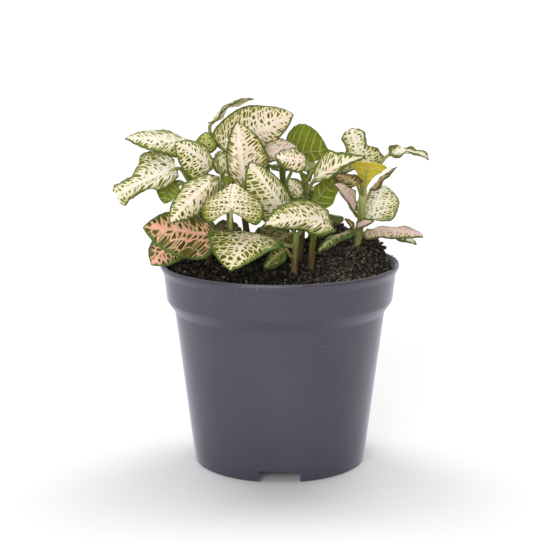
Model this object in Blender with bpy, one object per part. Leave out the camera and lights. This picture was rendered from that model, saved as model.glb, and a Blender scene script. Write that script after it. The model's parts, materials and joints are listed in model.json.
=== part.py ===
"""A nerve plant (Fittonia) in a plastic nursery pot: pot, potting soil, stems and leaves.

Sizes are in millimetres, measured from the point on the ground under the pot's centre.
-Y is the front of the plant and +X is its right. Each mesh becomes metres as it is made, and
all objects hang on one empty, which moves the plant so that its box stands on the origin.
"""

import math
from typing import NamedTuple

import bmesh
import bpy
from mathutils import Matrix, Vector

MM = 0.001

# Where the pot's centre stands, so that the plant's whole box is centred on the origin.
POT_CENTRE = (1.8, 0.0)

# Pot: a thin tapered wall with a wider band under its lip.
POT_HEIGHT = 89.0
WALL = 1.1
BASE_RADIUS = 38.1
BODY_TOP = (46.3, 68.0)
BAND_FOOT = (49.8, 73.0)
BAND_TOP = (50.9, 84.5)
LIP_RADIUS = 52.5
LIP_DROP = 1.4
POT_SIDES = 48

# The pot's floor stands above the ground, and the skirt below it is notched to drain.
FLOOR_UNDERSIDE = 2.6
FLOOR_THICKNESS = 1.4
NOTCHES = 4
NOTCH_WIDTH = 17.5
NOTCH_HEIGHT = 5.0
NOTCH_DEPTH = 10.0

# Soil: it fills the pot to just under the lip and is heaped at the back right.
CLEARANCE = 0.35
SOIL_SIDES = 32
SOIL_EDGE_HEIGHT = 85.0
SOIL_FILL_HEIGHT = 86.5
SOIL_RINGS = (0.94, 0.8, 0.6, 0.38, 0.16)
HEAPS = (
    # centre, height over the fill, spread
    ((38.0, 12.0), 10.5, 15.0),
    ((24.0, 30.0), 12.0, 15.0),
    ((8.0, -6.0), 1.5, 15.0),
    ((-20.0, 8.0), 1.5, 16.0),
)

# Stems: half thickness, then where each one passes, from inside the soil to its growing tip.
ROOT_HEIGHT = 80.0
SOCKET_GAP = 0.4
STEM_TAPER = 0.85
STEM_STEPS = 3
STEMS = {
    "stem_front": (1.6, (6.0, -20.0), ((6.4, -19.5, 96.0), (7.2, -17.5, 105.0))),
    "stem_front_right": (1.5, (13.6, -9.0), ((14.0, -10.0, 96.0), (15.4, -15.0, 107.0))),
    "stem_centre": (1.6, (8.0, 5.0), ((10.0, 4.0, 105.0), (11.6, 1.5, 125.0))),
    "stem_right": (1.8, (33.6, 6.0), ((34.6, 6.0, 97.0), (36.2, 5.0, 110.0), (36.8, 5.0, 127.0))),
    "stem_left": (1.6, (-19.0, -6.0), ((-21.0, -11.0, 104.0), (-22.5, -13.0, 125.0))),
    "stem_far_left": (1.5, (-30.0, 4.0), ((-34.0, 0.0, 106.0), (-38.0, -5.0, 133.0))),
    "stem_back_left": (1.6, (-13.0, 13.0), ((-16.0, 11.0, 110.0), (-21.0, 8.0, 138.0))),
    "stem_back": (1.6, (3.0, 22.0), ((2.0, 20.0, 108.0), (1.0, 14.0, 132.0))),
    "stem_back_right": (1.5, (13.0, 30.0), ((15.0, 30.0, 100.0), (16.5, 28.0, 112.0))),
}

# Leaves: a thin blade on a flat stalk.
BLADE_THICKNESS = 0.7
STALK_THICKNESS = 1.5
STALK_HALF_WIDTH = 0.9
STALK_GAP = 0.6
STALK_ROWS = 2
BLADE_ROWS = 7
COLUMNS = 4
TIP_WIDTH = 0.06


class Leaf(NamedTuple):
    """One leaf: where its blade starts and ends, which way its upper face looks, and its shape.

    node is the height on the stem where its stalk leaves. faces is (azimuth, elevation), where
    azimuth 0 looks to the front and 90 to the right. halves are the half widths left and right
    of the midrib, seen from above with the tip ahead. folds raise (+) or droop (-) each half,
    in degrees. arch lifts the midrib's middle and lobe carries the halves back past the stalk,
    as shares of the length. wave is how far the margin ruffles. The left half stays open, not
    folded, for the share of the length given by open_base.
    """

    name: str
    stem: str
    node: float
    base: tuple
    tip: tuple
    faces: tuple
    halves: tuple
    folds: tuple = (-10.0, -10.0)
    arch: float = 0.06
    wave: float = 0.6
    lobe: float = 0.06
    open_base: float = 0.0


LEAVES = (
    Leaf("leaf_front_1", "stem_front", 99.0, (-6.5, -23.0, 104.0), (-20.5, -43.5, 93.4),
         (0.0, 74.0), (12.0, 20.0), (-5.0, -5.0), 0.2),
    Leaf("leaf_front_2", "stem_front", 95.0, (2.0, -24.0, 98.5), (-7.0, -31.0, 92.0),
         (180.0, 30.0), (5.0, 5.0)),
    Leaf("leaf_front_right_1", "stem_front_right", 105.0, (20.9, -21.0, 110.3), (-6.5, -31.0, 110.2),
         (-5.0, 40.0), (7.5, 10.5), (-80.0, -8.0), 0.12, 0.5, 0.16, 0.2),
    Leaf("leaf_left_1", "stem_left", 107.0, (-20.1, -35.0, 116.3), (-18.9, -21.5, 126.5),
         (0.0, 60.0), (15.0, 14.5), (-28.0, -28.0), 0.12, 0.4, 0.3),
    Leaf("leaf_left_2", "stem_left", 119.0, (-27.0, -18.5, 128.4), (-45.8, -31.5, 111.1),
         (-10.0, 35.0), (10.0, 9.0), (-65.0, -18.0), 0.08),
    Leaf("leaf_left_3", "stem_left", 99.0, (-28.0, -16.0, 103.0), (-58.0, -20.0, 107.5),
         (0.0, 25.0), (12.0, 11.0), (-5.0, -15.0), 0.06, 1.0),
    Leaf("leaf_left_4", "stem_left", 124.0, (-26.5, -3.0, 136.2), (-20.5, -2.5, 127.2),
         (20.0, 40.0), (6.0, 6.0)),
    Leaf("leaf_far_left_1", "stem_far_left", 131.0, (-37.0, 1.0, 139.5), (-66.0, -8.0, 144.0),
         (-10.0, 60.0), (9.0, 9.0)),
    Leaf("leaf_far_left_2", "stem_far_left", 126.0, (-44.0, -12.0, 131.5), (-69.5, -20.0, 121.0),
         (-15.0, 35.0), (6.5, 14.0), (-50.0, -5.0), 0.06, 1.6),
    Leaf("leaf_far_left_3", "stem_far_left", 130.0, (-29.5, -8.5, 131.8), (-44.4, -12.0, 142.6),
         (0.0, 40.0), (10.5, 7.0), (-5.0, -10.0), 0.08),
    Leaf("leaf_far_left_4", "stem_far_left", 114.0, (-47.5, -6.0, 125.5), (-49.7, -9.0, 115.8),
         (180.0, 20.0), (5.0, 5.0)),
    Leaf("leaf_far_left_5", "stem_far_left", 99.0, (-45.0, -9.0, 101.5), (-55.5, -12.0, 89.6),
         (-20.0, 30.0), (9.0, 9.0)),
    Leaf("leaf_far_left_6", "stem_far_left", 118.0, (-44.0, 7.0, 123.5), (-59.0, 19.0, 121.0),
         (200.0, 60.0), (10.0, 10.0), (-10.0, -10.0), 0.1),
    Leaf("leaf_centre_1", "stem_centre", 107.0, (3.2, -13.5, 112.0), (-12.6, -15.5, 134.8),
         (0.0, 10.0), (11.5, 8.0), (-5.0, -40.0)),
    Leaf("leaf_centre_2", "stem_centre", 115.0, (9.4, -4.0, 119.0), (3.6, -7.0, 126.4),
         (0.0, 30.0), (5.0, 4.0)),
    Leaf("leaf_centre_3", "stem_centre", 120.0, (14.3, -6.5, 124.9), (36.3, -14.5, 136.8),
         (0.0, 35.0), (11.0, 4.0), (5.0, 5.0), 0.12, 0.6, -0.15),
    Leaf("leaf_centre_4", "stem_centre", 110.0, (15.0, 2.0, 114.5), (25.5, 4.0, 126.6),
         (200.0, 10.0), (7.0, 4.5)),
    Leaf("leaf_centre_5", "stem_centre", 124.4, (11.0, -14.0, 134.7), (-2.0, -17.0, 137.1),
         (0.0, 45.0), (6.5, 6.5)),
    Leaf("leaf_centre_6", "stem_centre", 97.5, (4.5, -1.5, 101.5), (-6.5, -7.0, 96.5),
         (-5.0, 45.0), (5.5, 5.5)),
    Leaf("leaf_back_left_1", "stem_back_left", 133.0, (-23.4, 4.0, 136.5), (5.8, 7.0, 153.0),
         (0.0, 20.0), (14.5, 9.0), (-10.0, -10.0), 0.06, 0.6, 0.15),
    Leaf("leaf_back_left_2", "stem_back_left", 118.0, (-15.6, -10.0, 124.0), (-18.3, -8.0, 151.0),
         (0.0, 15.0), (6.5, 12.0), (-10.0, -15.0)),
    Leaf("leaf_back_left_3", "stem_back_left", 136.5, (-30.5, 14.0, 148.0), (-11.4, 18.0, 159.0),
         (180.0, 75.0), (7.0, 7.0), (-10.0, -10.0), 0.15, 1.2),
    Leaf("leaf_back_left_4", "stem_back_left", 128.0, (-32.0, 7.0, 136.3), (-32.5, 9.0, 145.0),
         (0.0, 20.0), (5.0, 5.0)),
    Leaf("leaf_back_left_5", "stem_back_left", 115.0, (-25.0, 19.0, 120.0), (-40.0, 34.0, 111.0),
         (200.0, 55.0), (10.0, 10.0), (-10.0, -10.0), 0.12),
    Leaf("leaf_back_left_6", "stem_back_left", 126.0, (-16.0, 20.0, 131.0), (-22.0, 40.0, 133.0),
         (190.0, 60.0), (11.0, 11.0), (-10.0, -10.0), 0.12),
    Leaf("leaf_back_left_7", "stem_back_left", 98.5, (-18.5, 8.0, 102.5), (-31.0, 3.0, 99.0),
         (0.0, 40.0), (6.0, 6.5)),
    Leaf("leaf_back_left_8", "stem_back_left", 97.5, (-8.5, 9.5, 102.0), (3.5, 3.0, 97.0),
         (0.0, 40.0), (6.5, 6.0)),
    Leaf("leaf_back_1", "stem_back", 127.0, (2.8, 15.5, 134.7), (21.6, 18.0, 135.6),
         (180.0, 10.0), (6.0, 14.0)),
    Leaf("leaf_back_2", "stem_back", 130.0, (-7.0, -1.5, 136.5), (7.9, -6.0, 139.2),
         (0.0, 40.0), (7.0, 5.0)),
    Leaf("leaf_back_3", "stem_back", 118.0, (-7.5, 8.5, 126.2), (-7.5, 9.5, 132.2),
         (180.0, 0.0), (3.2, 3.2)),
    Leaf("leaf_back_4", "stem_back", 110.0, (8.5, 27.0, 113.0), (12.0, 48.0, 107.0),
         (175.0, 60.0), (9.5, 7.5), (-10.0, -10.0), 0.14),
    Leaf("leaf_back_5", "stem_back", 110.0, (-6.0, 25.0, 114.0), (-18.0, 42.0, 106.0),
         (195.0, 60.0), (8.5, 10.0), (-10.0, -10.0), 0.14),
    Leaf("leaf_back_6", "stem_back", 121.0, (5.5, 23.0, 126.5), (10.0, 42.0, 128.0),
         (170.0, 60.0), (11.0, 11.0), (-10.0, -10.0), 0.12),
    Leaf("leaf_back_right_1", "stem_back_right", 102.0, (18.5, 35.0, 104.5), (25.0, 50.0, 95.0),
         (170.0, 55.0), (9.0, 9.0), (-10.0, -10.0), 0.12),
    Leaf("leaf_back_right_2", "stem_back_right", 104.0, (9.0, 33.0, 103.0), (-2.0, 46.0, 96.5),
         (190.0, 55.0), (9.0, 9.0), (-10.0, -10.0), 0.12),
    Leaf("leaf_back_right_3", "stem_back_right", 111.0, (17.5, 23.0, 114.5), (21.0, 37.0, 118.5),
         (160.0, 60.0), (7.0, 7.0)),
    Leaf("leaf_right_1", "stem_right", 101.0, (39.5, 1.0, 102.5), (61.2, -16.0, 103.0),
         (0.0, 80.0), (9.0, 9.0)),
    Leaf("leaf_right_2", "stem_right", 100.5, (31.0, 1.5, 102.0), (16.3, -20.0, 96.8),
         (180.0, 80.0), (5.0, 5.0)),
    Leaf("leaf_right_3", "stem_right", 104.0, (40.5, 9.0, 106.0), (47.6, 22.0, 119.5),
         (-30.0, 30.0), (11.5, 11.5)),
    Leaf("leaf_right_4", "stem_right", 99.5, (47.0, 10.0, 101.5), (60.5, 3.0, 96.0),
         (0.0, 70.0), (4.0, 4.0)),
    Leaf("leaf_right_5", "stem_right", 109.0, (32.3, -1.5, 111.5), (23.2, -11.0, 124.8),
         (40.0, 40.0), (6.0, 6.0), (20.0, 20.0)),
    Leaf("leaf_right_6", "stem_right", 119.0, (33.5, -1.5, 123.0), (23.9, -13.5, 129.4),
         (-60.0, 50.0), (5.0, 5.0)),
    Leaf("leaf_right_7", "stem_right", 116.0, (40.3, 7.5, 119.6), (51.4, 11.0, 129.4),
         (-90.0, 50.0), (6.0, 6.0)),
    Leaf("leaf_right_8", "stem_right", 124.5, (37.5, 0.0, 126.5), (39.5, -2.0, 133.0),
         (180.0, 30.0), (7.0, 7.0)),
    Leaf("leaf_right_9", "stem_right", 126.5, (35.8, 8.5, 131.0), (31.4, 12.0, 146.4),
         (0.0, 10.0), (8.0, 9.0), (-10.0, -10.0), 0.06, 1.6, 0.25),
    Leaf("leaf_right_10", "stem_right", 125.5, (48.5, 9.0, 135.0), (66.1, 12.0, 132.7),
         (0.0, 80.0), (4.0, 4.0), (50.0, 50.0), 0.25),
)


def soil_height(x, y):
    """Height of the soil's surface away from the pot's wall."""
    height = SOIL_FILL_HEIGHT
    for (centre_x, centre_y), lift, spread in HEAPS:
        distance = math.hypot(x - centre_x, y - centre_y)
        height += lift * math.exp(-((distance / spread) ** 2))
    return height


def inner_radius(height):
    """Radius of the pot's inner wall at a height."""
    corners = (
        (BASE_RADIUS, 0.0),
        BODY_TOP,
        BAND_FOOT,
        BAND_TOP,
        (LIP_RADIUS, POT_HEIGHT),
    )
    for (r0, z0), (r1, z1) in zip(corners, corners[1:]):
        if height <= z1:
            return r0 + (r1 - r0) * (height - z0) / (z1 - z0) - WALL
    return LIP_RADIUS - WALL


def pot_outline():
    """The pot's half section: under the floor, out, up the wall, over the lip and back inside."""
    floor_top = FLOOR_UNDERSIDE + FLOOR_THICKNESS
    over_notches = NOTCH_HEIGHT + 1.5
    return (
        (0.0, FLOOR_UNDERSIDE),
        (BASE_RADIUS - WALL, FLOOR_UNDERSIDE),
        (BASE_RADIUS - WALL, 0.0),
        (BASE_RADIUS, 0.0),
        (inner_radius(over_notches) + WALL, over_notches),
        BODY_TOP,
        BAND_FOOT,
        BAND_TOP,
        (LIP_RADIUS, POT_HEIGHT - LIP_DROP),
        (LIP_RADIUS - 0.3, POT_HEIGHT),
        (LIP_RADIUS - WALL - 0.2, POT_HEIGHT),
        (inner_radius(BAND_TOP[1]), BAND_TOP[1]),
        (inner_radius(BAND_FOOT[1]), BAND_FOOT[1]),
        (inner_radius(BODY_TOP[1]), BODY_TOP[1]),
        (inner_radius(over_notches), over_notches),
        (inner_radius(floor_top), floor_top),
        (0.0, floor_top),
    )


def soil_outline():
    """The soil's half section, from the middle of its underside up the wall to its edge."""
    floor_top = FLOOR_UNDERSIDE + FLOOR_THICKNESS + CLEARANCE
    heights = (floor_top, BODY_TOP[1], BAND_FOOT[1], SOIL_EDGE_HEIGHT)
    wall = [(inner_radius(z) - 1.5 * CLEARANCE, z) for z in heights]
    return [(0.0, floor_top), *wall]


def turned(outline, sides):
    """A bmesh turned about Z from a half section whose ends may lie on the axis."""
    bm = bmesh.new()
    points = [bm.verts.new((r, 0.0, z)) for r, z in outline]
    edges = [bm.edges.new(pair) for pair in zip(points, points[1:])]
    bmesh.ops.spin(
        bm,
        geom=points + edges,
        axis=(0.0, 0.0, 1.0),
        cent=(0.0, 0.0, 0.0),
        angle=math.tau,
        steps=sides,
        use_merge=True,
    )
    bmesh.ops.remove_doubles(bm, verts=bm.verts, dist=0.001)
    bmesh.ops.recalc_face_normals(bm, faces=bm.faces)
    return bm


def finish(name, colour, roughness, metallic=0.0):
    """A plain Principled material."""
    material = bpy.data.materials.new(name)
    material.use_nodes = True
    shader = material.node_tree.nodes["Principled BSDF"]
    shader.inputs["Base Color"].default_value = (*colour, 1.0)
    shader.inputs["Roughness"].default_value = roughness
    shader.inputs["Metallic"].default_value = metallic
    return material


def add_object(name, bm, material, parent):
    """Puts a bmesh into the scene as a named, smooth-shaded object, in metres, under its parent."""
    bmesh.ops.scale(bm, vec=(MM, MM, MM), verts=bm.verts)
    mesh = bpy.data.meshes.new(name)
    bm.to_mesh(mesh)
    bm.free()
    mesh.materials.append(material)
    mesh.shade_smooth()
    mesh.set_sharp_from_angle(angle=math.radians(40.0))
    obj = bpy.data.objects.new(name, mesh)
    bpy.context.scene.collection.objects.link(obj)
    obj.parent = parent
    return obj


def cut(obj, cutter, name):
    """Cuts one object's shape out of another and leaves the cutter as a hidden guide."""
    cutter.hide_render = True
    cutter.display_type = "WIRE"
    modifier = obj.modifiers.new(name, "BOOLEAN")
    modifier.object = cutter
    modifier.operation = "DIFFERENCE"
    modifier.solver = "EXACT"


def make_pot(parent):
    """The nursery pot, with drain notches round the foot of its wall."""
    bm = turned(pot_outline(), POT_SIDES)
    pot = add_object("pot", bm, finish("pot plastic", (0.09, 0.088, 0.115), 0.42), parent)
    cutters = bmesh.new()
    for index in range(NOTCHES):
        turn = Matrix.Rotation(math.tau * index / NOTCHES, 4, "Z")
        middle = -(BASE_RADIUS + 2.0 - NOTCH_DEPTH / 2.0)
        place = Matrix.Translation((0.0, middle, NOTCH_HEIGHT / 2.0 - 1.0))
        size = Matrix.Diagonal((NOTCH_WIDTH, NOTCH_DEPTH, NOTCH_HEIGHT + 2.0, 1.0))
        bmesh.ops.create_cube(cutters, size=1.0, matrix=turn @ place @ size)
    guide = add_object("pot_notch_guide", cutters, pot.data.materials[0], parent)
    cut(pot, guide, "Drain notches")


def make_soil(parent, sockets):
    """The potting soil, with a socket for each stem."""
    bm = turned(soil_outline(), SOIL_SIDES)
    rim = [edge for edge in bm.edges if edge.is_boundary]
    edge_radius = inner_radius(SOIL_EDGE_HEIGHT) - 1.5 * CLEARANCE
    for share in SOIL_RINGS:
        grown = bmesh.ops.extrude_edge_only(bm, edges=rim)["geom"]
        verts = [item for item in grown if isinstance(item, bmesh.types.BMVert)]
        rim = [item for item in grown if isinstance(item, bmesh.types.BMEdge)]
        for vert in verts:
            flat = Vector((vert.co.x, vert.co.y)).normalized() * edge_radius * share
            vert.co = (flat.x, flat.y, soil_height(flat.x, flat.y))
    bmesh.ops.contextual_create(bm, geom=rim)
    bmesh.ops.triangulate(bm, faces=[face for face in bm.faces if len(face.verts) > 4])
    bmesh.ops.recalc_face_normals(bm, faces=bm.faces)
    soil = add_object("potting_soil", bm, finish("soil", (0.022, 0.017, 0.013), 0.95), parent)
    cut(soil, sockets, "Stem sockets")


def smooth_path(points, steps):
    """Points along a curve through the given points, a few for each stretch."""
    ends = [points[0] * 2.0 - points[1], *points, points[-1] * 2.0 - points[-2]]
    path = []
    for index in range(len(points) - 1):
        before, start, end, after = ends[index : index + 4]
        for step in range(steps):
            t = step / steps
            path.append(
                0.5
                * (
                    2.0 * start
                    + (end - before) * t
                    + (2.0 * before - 5.0 * start + 4.0 * end - after) * t**2
                    + (3.0 * start - before - 3.0 * end + after) * t**3
                )
            )
    path.append(points[-1])
    return path


def stem_path(name):
    """The middle line of a stem, from its root to its tip."""
    _, (x, y), rest = STEMS[name]
    return smooth_path([Vector((x, y, ROOT_HEIGHT)), *map(Vector, rest)], STEM_STEPS)


def make_stem(name, parent):
    """A round stem, a little thinner at its tip."""
    radius = STEMS[name][0]
    path = stem_path(name)
    curve = bpy.data.curves.new(name, "CURVE")
    curve.dimensions = "3D"
    curve.bevel_depth = radius * MM
    curve.bevel_resolution = 2
    curve.use_fill_caps = True
    spline = curve.splines.new("POLY")
    spline.points.add(len(path) - 1)
    for index, (point, place) in enumerate(zip(spline.points, path)):
        point.co = (*(place * MM), 1.0)
        point.radius = 1.0 - (1.0 - STEM_TAPER) * index / (len(path) - 1)
    curve.materials.append(finish(f"{name} green", (0.20, 0.24, 0.07), 0.55))
    stem = bpy.data.objects.new(name, curve)
    bpy.context.scene.collection.objects.link(stem)
    stem.parent = parent


def make_sockets(parent):
    """One round cutter for each stem, a little wider than the stem and a little deeper."""
    bm = bmesh.new()
    for name, (radius, _, _) in STEMS.items():
        path = stem_path(name)
        start = path[0]
        along = (path[1] - path[0]).normalized()
        length = 26.0
        lean = along.to_track_quat("Z", "Y").to_matrix().to_4x4()
        place = Matrix.Translation(start + along * (length / 2.0 - 0.5))
        bmesh.ops.create_cone(
            bm,
            cap_ends=True,
            segments=8,
            radius1=radius + SOCKET_GAP + 0.15,
            radius2=radius + SOCKET_GAP + 0.15,
            depth=length,
            matrix=place @ lean,
        )
    return add_object("stem_socket_guide", bm, finish("guide", (0.5, 0.5, 0.5), 0.5), parent)


def stem_at(name, height):
    """The point on a stem at a height, the stem's direction and its radius there."""
    radius = STEMS[name][0]
    path = stem_path(name)
    last = len(path) - 1
    for index, (low, high) in enumerate(zip(path, path[1:])):
        if height <= high.z or index == last - 1:
            share = min(1.0, (height - low.z) / (high.z - low.z))
            thickness = radius * (1.0 - (1.0 - STEM_TAPER) * (index + share) / last)
            return low.lerp(high, share), (high - low).normalized(), thickness
    raise ValueError(name)


def direction(azimuth, elevation):
    """A unit vector from an azimuth, 0 to the front and 90 to the right, and an elevation."""
    turn, rise = math.radians(azimuth), math.radians(elevation)
    level = math.cos(rise)
    return Vector((math.sin(turn) * level, -math.cos(turn) * level, math.sin(rise)))


def blade_width(v):
    """Share of the full half width at a share v of the blade's length."""
    return max(TIP_WIDTH, v**0.45 * (1.0 - v) ** 0.75 / 0.452)


class LeafShape:
    """Turns a place on a flat leaf into a place in space."""

    def __init__(self, leaf):
        self.leaf = leaf
        self.base = Vector(leaf.base)
        self.tip = Vector(leaf.tip)
        self.length = (self.tip - self.base).length
        along = (self.tip - self.base).normalized()
        up = direction(*leaf.faces)
        self.up = (up - along * up.dot(along)).normalized()
        self.set_stalk()

    def set_stalk(self):
        """The stalk leaves the stem's skin at right angles and meets the midrib in line."""
        point, stem_along, radius = stem_at(self.leaf.stem, self.leaf.node)
        out = self.base - point
        out = (out - stem_along * out.dot(stem_along)).normalized()
        root = point + out * (radius + STALK_GAP)
        reach = (self.base - root).length
        _, along, _ = self.frame(0.0)
        self.stalk = (root, root + out * reach * 0.35, self.base - along * reach * 0.35, self.base)
        self.stalk_out = out

    def midrib(self, v):
        lift = self.leaf.arch * 4.0 * v * (1.0 - v)
        return self.base.lerp(self.tip, v) + self.up * self.length * lift

    def frame(self, v):
        """The midrib's point, direction, upper normal at v."""
        step = 0.01
        low, high = max(0.0, v - step), min(1.0, v + step)
        along = (self.midrib(high) - self.midrib(low)).normalized()
        normal = (self.up - along * self.up.dot(along)).normalized()
        return self.midrib(v), along, normal

    def blade(self, u, v):
        """u runs from -1 at the left margin to 1 at the right, v from the base to the tip."""
        place, along, normal = self.frame(v)
        side = 0 if u < 0.0 else 1
        across = along.cross(normal) * (1.0 if side else -1.0)
        reach = abs(u)
        half = max(STALK_HALF_WIDTH * (1.0 - v), self.leaf.halves[side] * blade_width(v)) * reach
        fold = math.radians(self.leaf.folds[side]) * (0.5 + 0.5 * reach)
        if side == 0 and self.leaf.open_base:
            fold *= min(1.0, max(0.0, (v - self.leaf.open_base) / 0.15))
        back = self.leaf.lobe * self.length * reach**1.5 * (v / 0.12) * math.exp(1.0 - v / 0.12)
        ruffle = self.leaf.wave * reach**3 * math.sin(v * 15.0 + side * 2.0) * (1.0 - v) * 1.4
        return (
            place
            + across * half * math.cos(fold)
            + normal * (half * math.sin(fold) + ruffle)
            - along * back
        )

    def stalk_point(self, u, t):
        """u runs across the stalk and t along it, from the stem to the blade."""
        a, b, c, d = self.stalk
        s = 1.0 - t
        place = a * s**3 + b * 3.0 * s**2 * t + c * 3.0 * s * t**2 + d * t**3
        along = ((b - a) * s**2 + (c - b) * 2.0 * s * t + (d - c) * t**2).normalized()
        _, _, normal = self.frame(0.0)
        start = Vector((0.0, 0.0, 1.0)) if normal.z > -0.3 else Vector((0.0, 0.0, -1.0))
        normal = start.lerp(normal, t * t * (3.0 - 2.0 * t))
        normal = (normal - along * normal.dot(along)).normalized()
        return place + along.cross(normal) * u * STALK_HALF_WIDTH


def make_leaf(leaf, parent):
    """A leaf: a grid bent into a stalk and a blade, then given its thickness."""
    shape = LeafShape(leaf)
    rows = STALK_ROWS + BLADE_ROWS
    bm = bmesh.new()
    bmesh.ops.create_grid(bm, x_segments=COLUMNS, y_segments=rows, size=1.0)
    thickness = bm.verts.layers.deform.verify()
    for vert in bm.verts:
        u = vert.co.x
        row = round((vert.co.y + 1.0) / 2.0 * rows)
        if row < STALK_ROWS:
            vert.co = shape.stalk_point(u, row / STALK_ROWS)
            vert[thickness][0] = 1.0
        else:
            v = 0.5 - 0.5 * math.cos(math.pi * (row - STALK_ROWS) / BLADE_ROWS)
            vert.co = shape.blade(u, v)
            vert[thickness][0] = 0.6 if v == 0.0 else 0.0
    colour = (0.16, 0.22, 0.05) if leaf.faces[0] == 180.0 else (0.66, 0.62, 0.42)
    obj = add_object(leaf.name, bm, finish(f"{leaf.name} blade", colour, 0.5), parent)
    obj.vertex_groups.new(name="stalk")
    solid = obj.modifiers.new("Thickness", "SOLIDIFY")
    solid.thickness = STALK_THICKNESS * MM
    solid.vertex_group = "stalk"
    solid.thickness_vertex_group = BLADE_THICKNESS / STALK_THICKNESS
    solid.offset = 0.0
    solid.use_even_offset = False
    solid.use_quality_normals = True


def main():
    for obj in list(bpy.data.objects):
        bpy.data.objects.remove(obj, do_unlink=True)
    plant = bpy.data.objects.new("potted_nerve_plant", None)
    plant.location = (POT_CENTRE[0] * MM, POT_CENTRE[1] * MM, 0.0)
    bpy.context.scene.collection.objects.link(plant)
    make_pot(plant)
    make_soil(plant, make_sockets(plant))
    for name in STEMS:
        make_stem(name, plant)
    for leaf in LEAVES:
        make_leaf(leaf, plant)


main()
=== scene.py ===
# %% [markdown]
# # A nerve plant in its nursery pot
#
# The solid model is loaded first and stays fixed. Everything below dresses it: each solid gets
# a finer piece that stands in the same place, and each piece gets a material made from nodes.

# %% Load the solid model
import json
import math
import random
from typing import NamedTuple

import bmesh
import bpy
from mathutils import Matrix, Vector, noise

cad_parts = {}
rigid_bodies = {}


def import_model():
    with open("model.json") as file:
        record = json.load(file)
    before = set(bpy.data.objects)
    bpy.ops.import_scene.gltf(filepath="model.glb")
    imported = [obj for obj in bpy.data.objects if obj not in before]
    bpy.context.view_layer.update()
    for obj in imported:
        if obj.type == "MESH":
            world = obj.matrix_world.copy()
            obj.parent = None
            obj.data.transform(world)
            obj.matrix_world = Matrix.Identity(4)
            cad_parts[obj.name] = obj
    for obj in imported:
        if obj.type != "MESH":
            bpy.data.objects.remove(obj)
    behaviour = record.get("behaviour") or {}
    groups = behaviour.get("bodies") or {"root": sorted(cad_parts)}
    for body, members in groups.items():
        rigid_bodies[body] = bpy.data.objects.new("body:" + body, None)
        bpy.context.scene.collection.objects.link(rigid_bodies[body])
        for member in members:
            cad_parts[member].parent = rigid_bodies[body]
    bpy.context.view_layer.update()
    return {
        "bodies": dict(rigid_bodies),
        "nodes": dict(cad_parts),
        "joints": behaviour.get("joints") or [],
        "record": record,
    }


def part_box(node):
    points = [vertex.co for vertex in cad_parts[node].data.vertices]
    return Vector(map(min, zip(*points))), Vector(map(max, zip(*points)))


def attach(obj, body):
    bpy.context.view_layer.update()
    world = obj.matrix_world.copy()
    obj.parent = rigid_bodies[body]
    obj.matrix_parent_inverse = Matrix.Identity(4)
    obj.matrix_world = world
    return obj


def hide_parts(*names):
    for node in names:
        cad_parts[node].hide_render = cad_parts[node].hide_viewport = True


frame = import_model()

# %% [markdown]
# A plant is easiest to think about in millimetres, measured from the pot's own axis. The pot's
# box gives that axis, and one matrix carries every finished piece to its place in metres.

# %% Measure the pot and set the working frame
MM = 0.001
pot_low, pot_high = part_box("pot")
pot_middle = (pot_low + pot_high) / 2.0
TO_WORLD = Matrix.Translation((pot_middle.x, pot_middle.y, pot_low.z)) @ Matrix.Scale(MM, 4)
POT_HEIGHT = (pot_high.z - pot_low.z) / MM
LIP_RADIUS = (pot_high.x - pot_low.x) / 2.0 / MM
print(f"pot {POT_HEIGHT:.1f} mm high, lip radius {LIP_RADIUS:.2f} mm, axis at x {pot_middle.x / MM:.2f} mm")


def stand(name, data):
    """A new object for this data, linked into the scene."""
    made = bpy.data.objects.new(name, data)
    bpy.context.scene.collection.objects.link(made)
    return made


def stand_mesh(name, bm, materials=()):
    """A new object made from a bmesh, which is used up."""
    mesh = bpy.data.meshes.new(name)
    bm.to_mesh(mesh)
    bm.free()
    for material in materials:
        mesh.materials.append(material)
    return stand(name, mesh)


def add_piece(name, bm, materials, nodes=(), sharp=50.0):
    """Turns a bmesh in millimetres into a finished piece that rides with the plant."""
    bmesh.ops.transform(bm, matrix=TO_WORLD, verts=bm.verts)
    piece = stand_mesh(name, bm, materials)
    piece.data.shade_smooth()
    piece.data.set_sharp_from_angle(angle=math.radians(sharp))
    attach(piece, "root")
    if nodes:
        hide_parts(*nodes)
    return piece


# %% [markdown]
# The camera stands a little over half a metre in front of the pot and looks slightly down, with
# a long lens, so that the pot's sides stay nearly straight.

# %% Camera
camera = stand("studio_camera", bpy.data.cameras.new("studio_camera"))
camera.data.lens = 91.65
camera.data.sensor_width = 36.0
camera.data.clip_start = 0.01
camera.data.clip_end = 100.0
camera.location = (pot_middle.x - 1.2 * MM, pot_middle.y - 610.2 * MM, 206.1 * MM)
camera.rotation_euler = (math.radians(90.0 - 11.51), 0.0, 0.0)
bpy.context.scene.camera = camera

# %% [markdown]
# Materials are made of nodes. A small wrapper keeps each recipe to one line per node: it makes
# the node, sets what is given, and links a socket or stores a plain value.


# %% A short way to write node recipes
def tone(red, green, blue):
    """A colour given as screen values from 0 to 255, as the shader wants it."""
    parts = (value / 255.0 for value in (red, green, blue))
    return (*(p / 12.92 if p <= 0.04045 else ((p + 0.055) / 1.055) ** 2.4 for p in parts), 1.0)


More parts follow.
